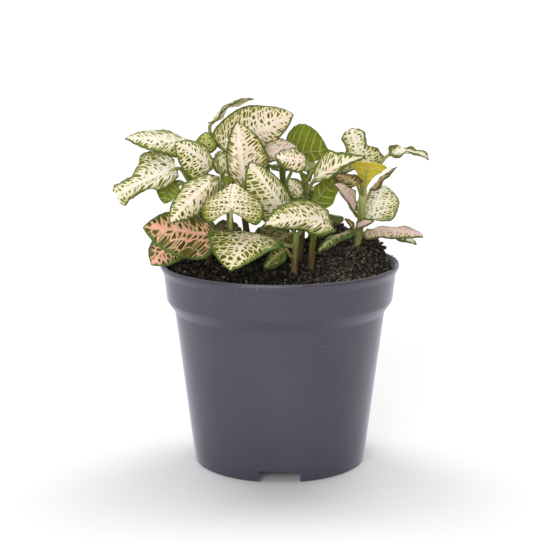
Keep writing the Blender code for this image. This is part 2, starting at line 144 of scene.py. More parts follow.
class Recipe:
    """Writes nodes into one material or one node group."""

    def __init__(self, tree):
        self.tree = tree

    def feed(self, socket, value):
        if isinstance(value, bpy.types.NodeSocket):
            self.tree.links.new(value, socket)
        else:
            socket.default_value = value

    def node(self, kind, feeds=None, **settings):
        made = self.tree.nodes.new("ShaderNode" + kind)
        for key, value in settings.items():
            setattr(made, key, value)
        for key, value in (feeds or {}).items():
            self.feed(made.inputs[key], value)
        return made

    def math(self, operation, first, second=0.0, third=0.0):
        made = self.node("Math", {0: first, 1: second, 2: third}, operation=operation)
        return made.outputs[0]

    def times(self, first, second):
        return self.math("MULTIPLY", first, second)

    def line(self, value, slope, start):
        """The straight line slope * value + start."""
        return self.math("MULTIPLY_ADD", value, slope, start)

    def vector(self, operation, first, second=(0.0, 0.0, 0.0)):
        made = self.node("VectorMath", {0: first, 1: second}, operation=operation)
        return made.outputs[0]

    def ease(self, value, low, high, start=0.0, end=1.0):
        """A smooth step from start to end as the value goes from low to high."""
        feeds = {"Value": value, "From Min": low, "From Max": high, "To Min": start, "To Max": end}
        return self.node("MapRange", feeds, interpolation_type="SMOOTHSTEP").outputs["Result"]

    def mix(self, share, first, second):
        return self.node("Mix", {0: share, 6: first, 7: second}, data_type="RGBA").outputs[2]

    def paint(self, body, *coats):
        """Lays one tone after another over a body, each through its own mask."""
        for mask, colour in coats:
            body = self.mix(mask, body, colour)
        return body

    def split(self, vector):
        return self.node("SeparateXYZ", {0: vector}).outputs

    def noise(self, vector, scale, detail=2.0, rough=0.5):
        feeds = {"Vector": vector, "Scale": scale, "Detail": detail, "Roughness": rough}
        return self.node("TexNoise", feeds).outputs

    def cells(self, vector, scale, feature="F1", random_share=1.0, dimensions="3D"):
        feeds = {"Vector": vector, "Scale": scale, "Randomness": random_share}
        settings = {"feature": feature, "voronoi_dimensions": dimensions}
        return self.node("TexVoronoi", feeds, **settings).outputs

    def place(self):
        """Object coordinates, in metres."""
        return self.node("TexCoord").outputs["Object"]

    def bump(self, height, strength, distance, normal=None):
        feeds = {"Height": height, "Strength": strength, "Distance": distance}
        if normal is not None:
            feeds["Normal"] = normal
        return self.node("Bump", feeds).outputs["Normal"]

    def group(self, tree, feeds):
        made = self.node("Group", node_tree=tree)
        for key, value in feeds.items():
            self.feed(made.inputs[key], value)
        return made.outputs

    def mottled(self, broad, fine):
        return self.group(MOTTLING, {"Broad scale": broad, "Fine scale": fine})


def new_group(name, inputs, outputs):
    """An empty node group with named sockets, and the recipe that fills it."""
    tree = bpy.data.node_groups.new(name, "ShaderNodeTree")
    for socket, kind, value in inputs:
        made = tree.interface.new_socket(socket, in_out="INPUT", socket_type=kind)
        made.default_value = value
    for socket, kind in outputs:
        tree.interface.new_socket(socket, in_out="OUTPUT", socket_type=kind)
    recipe = Recipe(tree)
    recipe.taken = tree.nodes.new("NodeGroupInput").outputs
    recipe.given = tree.nodes.new("NodeGroupOutput").inputs
    return recipe


def new_material(name, **plain):
    """A Principled material with its uniform values set on the shader itself."""
    material = bpy.data.materials.new(name)
    material.use_nodes = True
    shader = material.node_tree.nodes["Principled BSDF"].inputs
    for key, value in plain.items():
        shader[key.replace("_", " ")].default_value = value
    return material, Recipe(material.node_tree), shader


def new_tissue(name, glow, **plain):
    """Living tissue lets light in: glow is how deep red, green and blue go, in metres."""
    plain = {"Subsurface_Weight": 0.2, "Subsurface_Radius": glow, "Subsurface_Scale": 1.0, **plain}
    return new_material(name, **plain)


FLOAT = "NodeSocketFloat"

# %% [markdown]
# Mottling is a slow change of tone with finer specks on it, which keeps any surface from looking
# painted, so every finish of the plant, its pot and its soil uses it. Dust is a pale, patchy
# film. Each is a node group that puts out masks only.

# %% Shared effects: mottling and dust
recipe = new_group(
    "mottling",
    (("Broad scale", FLOAT, 100.0), ("Fine scale", FLOAT, 900.0)),
    (("Broad", FLOAT), ("Fine", FLOAT)),
)
spot = recipe.place()
broad = recipe.noise(spot, recipe.taken["Broad scale"], 3.0, 0.55)["Fac"]
fine = recipe.noise(spot, recipe.taken["Fine scale"], 3.0, 0.6)["Fac"]
recipe.feed(recipe.given["Broad"], recipe.ease(broad, 0.3, 0.7))
recipe.feed(recipe.given["Fine"], recipe.ease(fine, 0.3, 0.7))
MOTTLING = recipe.tree

recipe = new_group("dust", (("Amount", FLOAT, 0.5),), (("Mask", FLOAT),))
spot = recipe.place()
patches = recipe.ease(recipe.noise(spot, 45.0, 4.0, 0.65)["Fac"], 0.45, 0.75)
grains = recipe.ease(recipe.noise(spot, 1500.0, 2.0, 0.7)["Fac"], 0.56, 0.72)
recipe.feed(
    recipe.given["Mask"],
    recipe.times(recipe.times(patches, grains), recipe.taken["Amount"]),
)
DUST = recipe.tree
print("node groups:", [tree.name for tree in bpy.data.node_groups])

# %% [markdown]
# The pot is a thin plastic shell, moulded in one shot: a tapered wall, a wider band under the
# lip, and a raised floor. A half section turned once about the axis gives all of that. The
# corners are then bevelled, because moulded plastic never has a knife edge, and the drain
# notches are cut last, as a real mould would leave them.

# %% Pot: the half section
WALL = 1.1
BASE_RADIUS = 38.1
BODY_TOP = (46.3, 68.0)
BAND_FOOT = (49.8, 73.0)
BAND_TOP = (50.9, 84.5)
FLOOR_UNDERSIDE = 2.6
FLOOR_TOP = 4.0
NOTCHES = 4
POT_SIDES = 180
NOTCH_SIZE = (17.5, 10.0, 5.0)


def inner_radius(height):
    """Radius of the pot's inner wall at a height."""
    corners = ((BASE_RADIUS, 0.0), BODY_TOP, BAND_FOOT, BAND_TOP, (LIP_RADIUS, POT_HEIGHT))
    for (r0, z0), (r1, z1) in zip(corners, corners[1:]):
        if height <= z1:
            return r0 + (r1 - r0) * (height - z0) / (z1 - z0) - WALL
    return LIP_RADIUS - WALL


def turned(outline, sides):
    """A bmesh turned about Z from a half section whose ends may lie on the axis."""
    bm = bmesh.new()
    points = [bm.verts.new((r, 0.0, z)) for r, z in outline]
    edges = [bm.edges.new(pair) for pair in zip(points, points[1:])]
    bmesh.ops.spin(bm, geom=points + edges, axis=(0, 0, 1), cent=(0, 0, 0), angle=math.tau,
                   steps=sides, use_merge=True)
    bmesh.ops.remove_doubles(bm, verts=bm.verts, dist=0.001)
    bmesh.ops.recalc_face_normals(bm, faces=bm.faces)
    return bm


above_notch = NOTCH_SIZE[2] + 1.5
pot_outline = [
    (0.0, FLOOR_UNDERSIDE),
    (BASE_RADIUS - WALL - 7.0, FLOOR_UNDERSIDE),
    (BASE_RADIUS - WALL, FLOOR_UNDERSIDE),
    (BASE_RADIUS - WALL, 0.0),
    (BASE_RADIUS, 0.0),
    (inner_radius(above_notch) + WALL, above_notch),
    (inner_radius(40.0) + WALL, 40.0),
    BODY_TOP,
    BAND_FOOT,
    BAND_TOP,
    (LIP_RADIUS, POT_HEIGHT - 1.4),
    (LIP_RADIUS - 0.2, POT_HEIGHT),
    (LIP_RADIUS - WALL - 0.1, POT_HEIGHT),
    (inner_radius(BAND_TOP[1]), BAND_TOP[1]),
    (inner_radius(BAND_FOOT[1]), BAND_FOOT[1]),
    (inner_radius(BODY_TOP[1]), BODY_TOP[1]),
    (inner_radius(above_notch), above_notch),
    (inner_radius(FLOOR_TOP), FLOOR_TOP),
    (0.0, FLOOR_TOP),
]
pot_mesh = turned(pot_outline, POT_SIDES)
print("pot profile turned:", len(pot_mesh.faces), "faces")

# %% Pot: round every moulded corner


def ring_edges(bm, corners, slack=0.01):
    """The level edges that run round the axis through these corners of the section."""
    found = []
    for edge in bm.edges:
        a, b = (vert.co for vert in edge.verts)
        if abs(a.z - b.z) > slack or abs(a.xy.length - b.xy.length) > slack:
            continue
        if any(abs(a.xy.length - r) < 0.02 and abs(a.z - z) < 0.02 for r, z in corners):
            found.append(edge)
    return found


for corners, size in (
    ((BODY_TOP, BAND_FOOT, BAND_TOP), 0.9),
    (pot_outline[10:13], 0.3),
    (((BASE_RADIUS, 0.0),), 0.35),
):
    bmesh.ops.bevel(pot_mesh, geom=ring_edges(pot_mesh, corners), offset=size, segments=3,
                    profile=0.5, affect="EDGES", material=-1)
bmesh.ops.recalc_face_normals(pot_mesh, faces=pot_mesh.faces)
print("rounded:", len(pot_mesh.faces), "faces, closed:", all(e.is_manifold for e in pot_mesh.edges))

# %% Pot: cut the drain notches
cutters = bmesh.new()
for index in range(NOTCHES):
    width, depth, height = NOTCH_SIZE
    turn = Matrix.Rotation(math.tau * index / NOTCHES, 4, "Z")
    place = Matrix.Translation((0.0, -(BASE_RADIUS + 2.0 - depth / 2.0), height / 2.0 - 1.0))
    size = Matrix.Diagonal((width, depth, height + 2.0, 1.0))
    bmesh.ops.create_cube(cutters, size=1.0, matrix=turn @ place @ size)
cutter = stand_mesh("notch_cutters", cutters)
shell = stand_mesh("pot_shell_uncut", pot_mesh)
notch = shell.modifiers.new("Drain notches", "BOOLEAN")
notch.object = cutter
notch.operation = "DIFFERENCE"
notch.solver = "EXACT"
pot_mesh = bmesh.new()
pot_mesh.from_object(shell, bpy.context.evaluated_depsgraph_get())
for helper in (cutter, shell):
    bpy.data.objects.remove(helper, do_unlink=True)
print("notched:", len(pot_mesh.faces), "faces")

# %% [markdown]
# Nursery pots are made of recycled plastic, a blue-grey that is nearly black, with a soft sheen.
# Handling leaves fine pale scratches that run mostly up and down and round, and potting leaves
# dust under the lip. The scratches come from noise that is squeezed in one direction.

# %% Pot: plastic
pot_plastic, recipe, shader = new_material(
    "pot plastic",
    Specular_IOR_Level=0.55, Sheen_Weight=0.8, Sheen_Roughness=0.3, Sheen_Tint=(0.82, 0.82, 1.0, 1.0),
)
spot = recipe.place()
mottled = recipe.mottled(35.0, 1600.0)
upright = recipe.vector("MULTIPLY", spot, (900.0, 900.0, 30.0))
level = recipe.vector("MULTIPLY", spot, (60.0, 60.0, 1500.0))
scratches = recipe.math(
    "MAXIMUM",
    recipe.ease(recipe.noise(upright, 1.0, 1.0, 0.4)["Fac"], 0.73, 0.8),
    recipe.ease(recipe.noise(level, 1.0, 1.0, 0.4)["Fac"], 0.75, 0.82),
)
scratches = recipe.times(scratches, recipe.ease(recipe.noise(spot, 60.0)["Fac"], 0.45, 0.65))
height = recipe.split(spot)[2]
under_lip = recipe.ease(height, 0.066, 0.088)
dusty = recipe.math("ADD", recipe.times(under_lip, 0.5), 0.2)
dust = recipe.group(DUST, {"Amount": dusty})["Mask"]
on_lip = recipe.ease(height, 0.0868, 0.0888)
soiled = recipe.times(on_lip, recipe.ease(recipe.noise(spot, 380.0, 3.0, 0.7)["Fac"], 0.52, 0.62))
body = recipe.paint(
    recipe.mix(mottled["Broad"], tone(54, 52, 66), tone(60, 58, 73)),
    (recipe.times(mottled["Fine"], 0.35), tone(66, 64, 80)),
    (recipe.times(scratches, 0.35), tone(150, 149, 160)),
    (dust, tone(158, 152, 146)),
    (recipe.times(soiled, 0.7), tone(58, 46, 36)),
)
recipe.feed(shader["Base Color"], body)
rough = recipe.math("ADD", recipe.times(mottled["Broad"], 0.08), 0.36)
rough = recipe.math("ADD", rough, recipe.times(recipe.math("MAXIMUM", dust, scratches), 0.3))
recipe.feed(shader["Roughness"], rough)
skin = recipe.math("ADD", mottled["Fine"], recipe.times(scratches, 0.6))
waver = recipe.bump(recipe.noise(spot, 55.0, 1.0)["Fac"], 0.25, 0.0006)
recipe.feed(shader["Normal"], recipe.bump(skin, 0.12, 0.00005, waver))
pot = add_piece("pot_shell", pot_mesh, [pot_plastic], ["pot"], sharp=35.0)
print("pot finished:", len(pot.data.polygons), "faces")

# %% [markdown]
# Potting soil is peat: dark crumbs of every size, brown root fibres, and white perlite grains
# that keep it airy. The ground itself is one turned surface whose points are pushed up and down
# by rounded cells, so that it reads as lumps. Loose crumbs, fibres and grains then lie on it.

# %% Soil: the shape of the ground
SOIL_EDGE = 85.0
SOIL_FILL = 86.5
SOIL_SIDES = 260
SOIL_ROWS = 84
HEAPS = (((38.0, 12.0), 10.5, 15.0), ((24.0, 30.0), 12.0, 15.0),
         ((8.0, -6.0), 1.5, 15.0), ((-20.0, 8.0), 1.5, 16.0))
SOIL_RADIUS = inner_radius(SOIL_EDGE) - 0.08


def lumps(x, y, size):
    """Rounded cells, highest in the middle of each."""
    nearest, _ = noise.voronoi(Vector((x / size, y / size, size)))
    return 0.5 - nearest[0]


def ground(x, y):
    """Height of the soil's surface."""
    reach = min(1.0, math.hypot(x, y) / SOIL_RADIUS)
    height = SOIL_FILL
    for (heap_x, heap_y), lift, spread in HEAPS:
        height += lift * math.exp(-(math.hypot(x - heap_x, y - heap_y) / spread) ** 2)
    edge = max(0.0, (reach - 0.93) / 0.07)
    height += (SOIL_EDGE - height) * edge * edge * (3.0 - 2.0 * edge)
    calm = 1.0 - 0.75 * edge
    height += calm * 1.3 * noise.noise(Vector((x / 9.0, y / 9.0, 3.0)))
    return height + calm * (2.0 * lumps(x, y, 3.6) + 1.1 * lumps(x, y, 1.6))


soil_foot = FLOOR_TOP + 0.3
soil_outline = [(0.0, soil_foot)]
soil_outline += [(inner_radius(z) - 0.3, z) for z in (soil_foot, 40.0, BODY_TOP[1], BAND_FOOT[1])]
soil_outline += [(SOIL_RADIUS * (1.0 - row / SOIL_ROWS), SOIL_EDGE) for row in range(SOIL_ROWS + 1)]
soil_mesh = turned(soil_outline, SOIL_SIDES)
for vert in soil_mesh.verts:
    if vert.co.z > SOIL_EDGE - 0.01:
        vert.co.z = ground(vert.co.x, vert.co.y)
print("soil:", len(soil_mesh.faces), "faces")

# %% [markdown]
# One peat recipe serves the ground, the crumbs, the dry crumbs and the fibres with different
# tones. It sits between near-black and warm brown, follows the size of the crumbs, and dries to
# a lighter brown on the heap at the right.

# %% Soil: peat, fibre and perlite finishes


def peat(name, deep, mid, light, lightness):
    material, recipe, shader = new_material(name, Roughness=0.95, Specular_IOR_Level=0.2)
    spot = recipe.place()
    mottled = recipe.mottled(420.0, 3000.0)
    crumb = recipe.cells(spot, 900.0)
    shade = recipe.split(crumb["Color"])[0]
    speck = recipe.times(mottled["Fine"], recipe.ease(shade, 0.75, 0.95))
    dry = recipe.ease(recipe.split(spot)[0], 0.002, 0.034, 0.0, lightness)
    dry = recipe.times(dry, recipe.ease(recipe.noise(spot, 700.0, 3.0)["Fac"], 0.42, 0.62))
    body = recipe.paint(
        recipe.mix(mottled["Broad"], deep, mid),
        (recipe.ease(shade, 0.45, 1.0, 0.0, 0.85), light),
        # Darker towards the edge of each crumb: painted shade in the gaps between crumbs.
        (recipe.ease(crumb["Distance"], 0.35, 0.65), deep),
        (recipe.times(speck, 0.6), tone(170, 152, 128)),
        (dry, tone(150, 134, 118)),
    )
    recipe.feed(shader["Base Color"], body)
    recipe.feed(shader["Roughness"], recipe.ease(mottled["Fine"], 0.0, 1.0, 0.75, 1.0))
    rough = recipe.math("ADD", recipe.times(crumb["Distance"], -1.2), mottled["Fine"])
    recipe.feed(shader["Normal"], recipe.bump(rough, 0.9, 0.0008))
    return material


soil_peat = peat("peat", tone(15, 14, 13), tone(34, 29, 25), tone(66, 56, 46), 0.2)
crumb_peat = peat("peat crumbs", tone(18, 16, 14), tone(48, 41, 34), tone(112, 98, 82), 0.7)
dry_peat = peat("dry peat", tone(30, 25, 21), tone(150, 130, 113), tone(236, 217, 198), 0.6)
fibre_peat = peat("root fibre", tone(72, 58, 42), tone(116, 96, 74), tone(176, 154, 124), 0.4)
perlite, recipe, shader = new_material(
    "perlite", Roughness=0.85, Subsurface_Weight=0.15, Subsurface_Radius=(0.0004, 0.0004, 0.0004))
mottled = recipe.mottled(700.0, 3000.0)
body = recipe.mix(mottled["Broad"], tone(190, 184, 172), tone(240, 238, 232))
body = recipe.mix(recipe.times(mottled["Fine"], 0.4), body, tone(150, 140, 126))
recipe.feed(shader["Base Color"], body)
recipe.feed(shader["Normal"], recipe.bump(mottled["Fine"], 0.6, 0.0003))
soil = add_piece("soil_ground", soil_mesh, [soil_peat], ["potting_soil"])

# %% Soil: loose crumbs, perlite grains and root fibres
chance = random.Random(11)
uniform = chance.uniform
REACH = 0.985
DRY_CRUMBS = 1300
LOOSE_CRUMBS = 1500
RIM_CRUMBS = 46
PERLITE_GRAINS = 70
FRONT_GRAINS = 26
FIBRES = 190
FIBRE_STEPS = 5


def scatter(reach=REACH):
    """A random place on the soil, evenly spread."""
    radius, turn = SOIL_RADIUS * reach * math.sqrt(chance.random()), uniform(0.0, math.tau)
    return radius * math.cos(turn), radius * math.sin(turn)


def add_grain(bm, x, y, z, size, flat=0.75):
    """One angular grain: an icosphere that is stretched, turned, and has every point moved."""
    place = Matrix.Translation((x, y, z))
    turn = Matrix.Rotation(uniform(0, math.tau), 4, Vector((chance.random(), chance.random(), 1.0)))
    shape = Matrix.Diagonal((size * uniform(0.7, 1.4), size * uniform(0.6, 1.0), size * flat, 1.0))
    made = bmesh.ops.create_icosphere(bm, subdivisions=1, radius=1.0, matrix=place @ turn @ shape)
    for vert in made["verts"]:
        vert.co += Vector((uniform(-1, 1), uniform(-1, 1), uniform(-1, 1))) * size * 0.28


def add_grains(name, bm, finish):
    """Loose grains as one piece of the soil."""
    bmesh.ops.recalc_face_normals(bm, faces=bm.faces)
    return add_piece(name, bm, [finish])


def tube(bm, path, radii, sides, material=0, along=None):
    """A round tube through the points of a path, closed at both ends."""
    faces, ring, last = [], None, None
    side = Vector((1.0, 0.0, 0.0))
    for index, (place, radius) in enumerate(zip(path, radii)):
        ahead = (path[min(index + 1, len(path) - 1)] - path[max(index - 1, 0)]).normalized()
        side = side - ahead * side.dot(ahead)
        if side.length < 0.05:
            side = ahead.orthogonal()
        side.normalize()
        up = ahead.cross(side)
        spots = [place + (side * math.cos(a) + up * math.sin(a)) * radius
                 for a in (math.tau * step / sides for step in range(sides))]
        if ring is None:
            ring = bmesh.ops.create_circle(bm, cap_ends=True, segments=sides, radius=1.0)["verts"]
            faces += list(ring[0].link_faces)
            edges = {e for v in ring for e in v.link_edges}
            order = ring
        else:
            grown = bmesh.ops.extrude_edge_only(bm, edges=list(edges))["geom"]
            faces += [g for g in grown if isinstance(g, bmesh.types.BMFace)]
            fresh = {g for g in grown if isinstance(g, bmesh.types.BMVert)}
            edges = {g for g in grown if isinstance(g, bmesh.types.BMEdge) and set(g.verts) <= fresh}
            order = [next(e.other_vert(v) for e in v.link_edges if e.other_vert(v) in fresh) for v in order]
        for vert, spot in zip(order, spots):
            vert.co = spot
            if along is not None:
                vert[along] = index / (len(path) - 1)
    faces += bmesh.ops.contextual_create(bm, geom=list(edges))["faces"]
    bmesh.ops.recalc_face_normals(bm, faces=faces)
    for face in faces:
        face.material_index = material
    return faces


dry_crumbs = bmesh.new()
for _ in range(DRY_CRUMBS):
    x = chance.gauss(30.0, 12.0)
    y = uniform(-42.0, 40.0)
    if math.hypot(x, y) > SOIL_RADIUS * REACH:
        continue
    size = chance.choice((0.3, 0.45, 0.6, 0.9)) * uniform(0.8, 1.2)
    add_grain(dry_crumbs, x, y, ground(x, y) + size * 0.9, size, 0.6)
soil_dry_crumbs = add_grains("soil_dry_crumbs", dry_crumbs, dry_peat)

crumbs = bmesh.new()
for _ in range(LOOSE_CRUMBS):
    x, y = scatter()
    size = chance.choice((0.35, 0.45, 0.6, 0.8, 1.15)) * uniform(0.8, 1.2)
    add_grain(crumbs, x, y, ground(x, y) + size * 0.35, size)
for _ in range(RIM_CRUMBS):
    turn = uniform(0, math.tau)
    radius = LIP_RADIUS - WALL / 2.0 - 0.2 + uniform(-0.35, 0.2)
    size = uniform(0.22, 0.42)
    add_grain(crumbs, radius * math.cos(turn), radius * math.sin(turn), POT_HEIGHT + size * 0.3, size)
soil_crumbs = add_grains("soil_crumbs", crumbs, crumb_peat)

grains = bmesh.new()
for index in range(PERLITE_GRAINS):
    x, y = scatter(0.97)
    if index < FRONT_GRAINS:
        x, y = uniform(-24.0, 30.0), uniform(-47.0, -30.0)
        if math.hypot(x, y) > SOIL_RADIUS - 1.5:
            continue
    size = uniform(0.3, 0.62)
    add_grain(grains, x, y, ground(x, y) + size * 0.5, size, 0.85)
perlite_grains = add_grains("perlite_grains", grains, perlite)

fibres = bmesh.new()
for _ in range(FIBRES):
    x, y = scatter(0.97)
    turn, length, bend = uniform(0, math.tau), uniform(2.5, 7.0), uniform(-0.9, 0.9)
    path = []
    for step in range(FIBRE_STEPS):
        share = step / (FIBRE_STEPS - 1)
        heading = turn + bend * share
        px = x + math.cos(heading) * length * (share - 0.5)
        py = y + math.sin(heading) * length * (share - 0.5)
        if math.hypot(px, py) > SOIL_RADIUS - 0.4:
            break
        path.append(Vector((px, py, ground(px, py) + 0.25 + uniform(0.0, 0.7))))
    if len(path) == FIBRE_STEPS:
        radius = uniform(0.07, 0.16)
        tube(fibres, path, [radius * k for k in (0.5, 1.0, 1.0, 0.8, 0.3)], 5)
soil_fibres = add_piece("soil_fibres", fibres, [fibre_peat], sharp=80.0)
for piece in (soil_dry_crumbs, soil_crumbs, perlite_grains, soil_fibres):
    print(piece.name, len(piece.data.polygons), "faces")

# %% [markdown]
# A stem is a juicy round shoot, a little swollen at every node where leaves leave it. It is a
# tube drawn through a smooth path, whose radius grows near the nodes. The attribute "along"
# runs from 0 at the soil to 1 at the tip, so that the finish can go from brown to fresh green.

# %% Stems: paths
ROOT_HEIGHT = 80.0
STEM_TAPER = 0.85
STEMS = {
    "stem_front": (1.6, (6.0, -20.0), ((6.4, -19.5, 96.0), (7.2, -17.5, 105.0))),
    "stem_front_right": (1.5, (13.6, -9.0), ((14.0, -10.0, 96.0), (15.4, -15.0, 107.0))),
    "stem_centre": (1.6, (8.0, 5.0), ((10.0, 4.0, 105.0), (11.6, 1.5, 125.0))),
    "stem_right": (1.8, (33.6, 6.0), ((34.6, 6.0, 97.0), (36.2, 5.0, 110.0), (36.8, 5.0, 127.0))),
    "stem_left": (1.6, (-19.0, -6.0), ((-21.0, -11.0, 104.0), (-22.5, -13.0, 125.0))),
    "stem_far_left": (1.5, (-30.0, 4.0), ((-34.0, 0.0, 106.0), (-38.0, -5.0, 133.0))),
    "stem_back_left": (1.6, (-13.0, 13.0), ((-16.0, 11.0, 110.0), (-21.0, 8.0, 138.0))),
    "stem_back": (1.6, (3.0, 22.0), ((2.0, 20.0, 108.0), (1.0, 14.0, 132.0))),
    "stem_back_right": (1.5, (13.0, 30.0), ((15.0, 30.0, 100.0), (16.5, 28.0, 112.0))),
}


def smooth_path(points, steps):
    """Points along a curve through the given points, a few for each stretch."""
    ends = [points[0] * 2.0 - points[1], *points, points[-1] * 2.0 - points[-2]]
    path = []
    for index in range(len(points) - 1):
        before, start, end, after = ends[index:index + 4]
        for step in range(steps):
            t = step / steps
            bend = (2.0 * before - 5.0 * start + 4.0 * end - after) * t**2
            turn = (3.0 * start - before - 3.0 * end + after) * t**3
            path.append(0.5 * (2.0 * start + (end - before) * t + bend + turn))
    path.append(points[-1])
    return path


def stem_path(name, steps):
    _, (x, y), rest = STEMS[name]
    return smooth_path([Vector((x, y, ROOT_HEIGHT)), *map(Vector, rest)], steps)


def stem_at(name, height):
    """The point on a stem at a height, the stem's direction and its radius there."""
    path = stem_path(name, 3)
    last = len(path) - 1
    for index, (low, high) in enumerate(zip(path, path[1:])):
        if height <= high.z or index == last - 1:
            share = min(1.0, (height - low.z) / (high.z - low.z))
            radius = STEMS[name][0] * (1.0 - (1.0 - STEM_TAPER) * (index + share) / last)
            return low.lerp(high, share), (high - low).normalized(), radius


# %% [markdown]
# Every leaf is described by where its blade starts and ends, which way its face looks and how
# wide, folded and ruffled it is. The table holds one row for each leaf of the solid model, stem
# by stem, with a look that names its finish further down. A few leaves have an odd outline, and
# a second table gives theirs.

# %% Leaves: the table


class Leaf(NamedTuple):
    """faces is (azimuth, elevation) of the upper face, halves and folds are left and right."""

    name: str
    stem: str
    node: float
    base: tuple
    tip: tuple
    faces: tuple
    halves: tuple
    look: str
    folds: tuple = (-10.0, -10.0)
    arch: float = 0.06
    wave: float = 0.6
    lobe: float = 0.06
    open_base: float = 0.0


LEAF_ROWS = {
    # node height, base, tip, faces, halves, look, folds, arch, wave, lobe, open base
    "front": (
        (99, (-6.5, -23, 104), (-20.5, -43.5, 93.4), (0, 74), (12, 20), "speckled", (-5, -5), 0.2),
        (95, (2, -24, 98.5), (-7, -31, 92), (180, 30), (5, 5), "shaded"),
    ),
    "front_right": (
        (105, (20.9, -21, 110.3), (-6.5, -31, 110.2), (-5, 40), (7.5, 10.5),
         "cream", (-80, -8), 0.12, 0.5, 0.16, 0.2),
    ),
    "left": (
        (107, (-20.1, -35, 116.3), (-18.9, -21.5, 126.5), (0, 60), (15, 14.5),
         "cream", (-28, -28), 0.12, 0.4, 0.3),
        (119, (-27, -18.5, 128.4), (-45.8, -31.5, 111.1), (-10, 35), (10, 9), "cream", (-65, -18), 0.08),
        (99, (-28, -16, 103), (-58, -20, 107.5), (0, 25), (12, 11), "salmon", (-5, -15), 0.06, 1),
        (124, (-26.5, -3, 136.2), (-20.5, -2.5, 127.2), (20, 40), (6, 6), "cream"),
    ),
    "far_left": (
        (131, (-37, 1, 139.5), (-66, -8, 144), (-10, 60), (9, 9), "pale"),
        (126, (-44, -12, 131.5), (-69.5, -20, 121), (-15, 35), (6.5, 14), "pale", (-50, -5), 0.06, 1.6),
        (130, (-29.5, -8.5, 131.8), (-44.4, -12, 142.6), (0, 40), (10.5, 7), "cream", (-5, -10), 0.08),
        (114, (-47.5, -6, 125.5), (-49.7, -9, 115.8), (180, 20), (5, 5), "cream"),
        (99, (-45, -9, 101.5), (-55.5, -12, 89.6), (-20, 30), (9, 9), "salmon"),
        (118, (-44, 7, 123.5), (-59, 19, 121), (200, 60), (10, 10), "cream", (-10, -10), 0.1),
    ),
    "centre": (
        (107, (3.2, -13.5, 112), (-12.6, -15.5, 134.8), (0, 10), (11.5, 8), "cream", (-5, -40)),
        (115, (9.4, -4, 119), (3.6, -7, 126.4), (0, 30), (5, 4), "cream"),
        (120, (14.3, -6.5, 124.9), (36.3, -14.5, 136.8), (0, 35), (11, 4),
         "cream", (5, 5), 0.12, 0.6, -0.15),
        (110, (15, 2, 114.5), (25.5, 4, 126.6), (200, 10), (7, 4.5), "cream"),
        (124.4, (11, -14, 134.7), (-2, -17, 137.1), (0, 45), (6.5, 6.5), "blush"),
        # This lowest leaf takes the darker look, which paints the shade it sits in.
        (97.5, (4.5, -1.5, 101.5), (-6.5, -7, 96.5), (-5, 45), (5.5, 5.5), "painted_shade"),
    ),
    "back_left": (
        (133, (-23.4, 4, 136.5), (5.8, 7, 153), (0, 20), (14.5, 9),
         "blush", (-10, -10), 0.06, 0.6, 0.15),
        (118, (-15.6, -10, 124), (-18.3, -8, 151), (0, 15), (6.5, 12), "blush", (-10, -15)),
        (136.5, (-30.5, 14, 148), (-11.4, 18, 159), (180, 75), (7, 7), "pale", (-10, -10), 0.15, 1.2),
        (128, (-32, 7, 136.3), (-32.5, 9, 145), (0, 20), (5, 5), "fresh"),
        (115, (-25, 19, 120), (-40, 34, 111), (200, 55), (10, 10), "cream", (-10, -10), 0.12),
        (126, (-16, 20, 131), (-22, 40, 133), (190, 60), (11, 11), "cream", (-10, -10), 0.12),
        # The two lowest leaves here take the darker look, which paints the shade they sit in.
        (98.5, (-18.5, 8, 102.5), (-31, 3, 99), (0, 40), (6, 6.5), "painted_shade"),
        (97.5, (-8.5, 9.5, 102), (3.5, 3, 97), (0, 40), (6.5, 6), "painted_shade"),
    ),
    "back": (
        (127, (2.8, 15.5, 134.7), (21.6, 18, 135.6), (180, 10), (6, 14), "cream"),
        (130, (-7, -1.5, 136.5), (7.9, -6, 139.2), (0, 40), (7, 5), "rose"),
        (118, (-7.5, 8.5, 126.2), (-7.5, 9.5, 132.2), (180, 0), (3.2, 3.2), "cream"),
        (110, (8.5, 27, 113), (12, 48, 107), (175, 60), (9.5, 7.5), "cream", (-10, -10), 0.14),
        (110, (-6, 25, 114), (-18, 42, 106), (195, 60), (8.5, 10), "cream", (-10, -10), 0.14),
        (121, (5.5, 23, 126.5), (10, 42, 128), (170, 60), (11, 11), "cream", (-10, -10), 0.12),
    ),
    "back_right": (
        (102, (18.5, 35, 104.5), (25, 50, 95), (170, 55), (9, 9), "cream", (-10, -10), 0.12),
        (104, (9, 33, 103), (-2, 46, 96.5), (190, 55), (9, 9), "cream", (-10, -10), 0.12),
        (111, (17.5, 23, 114.5), (21, 37, 118.5), (160, 60), (7, 7), "cream"),
    ),
    "right": (
        (101, (39.5, 1, 102.5), (61.2, -16, 103), (0, 80), (9, 9), "rose"),
        (100.5, (31, 1.5, 102), (16.3, -20, 96.8), (180, 80), (5, 5), "shaded"),
        (104, (40.5, 9, 106), (47.6, 22, 119.5), (-30, 30), (11.5, 11.5), "pale"),
        (99.5, (47, 10, 101.5), (60.5, 3, 96), (0, 70), (4, 4), "cream"),
        (109, (32.3, -1.5, 111.5), (23.2, -11, 124.8), (40, 40), (6, 6), "rose", (20, 20)),
        (119, (33.5, -1.5, 123), (23.9, -13.5, 129.4), (-60, 50), (5, 5), "bronze"),
        (116, (40.3, 7.5, 119.6), (51.4, 11, 129.4), (-90, 50), (6, 6), "bronze"),
        (118, (36.8, 1.6, 121.5), (38.6, -2.5, 133.2), (180, 30), (7, 7), "golden", (-12, -12), 0, 0.5),
        (126.5, (35.8, 8.5, 131), (31.4, 12, 146.4), (0, 10), (8, 9),
         "pale", (-10, -10), 0.06, 1.6, 0.25),
        (125.5, (48.5, 9, 135), (66.1, 12, 132.7), (-10, 60), (4.6, 4), "pale", (30, 10), 0.16, 1.6),
    ),
}
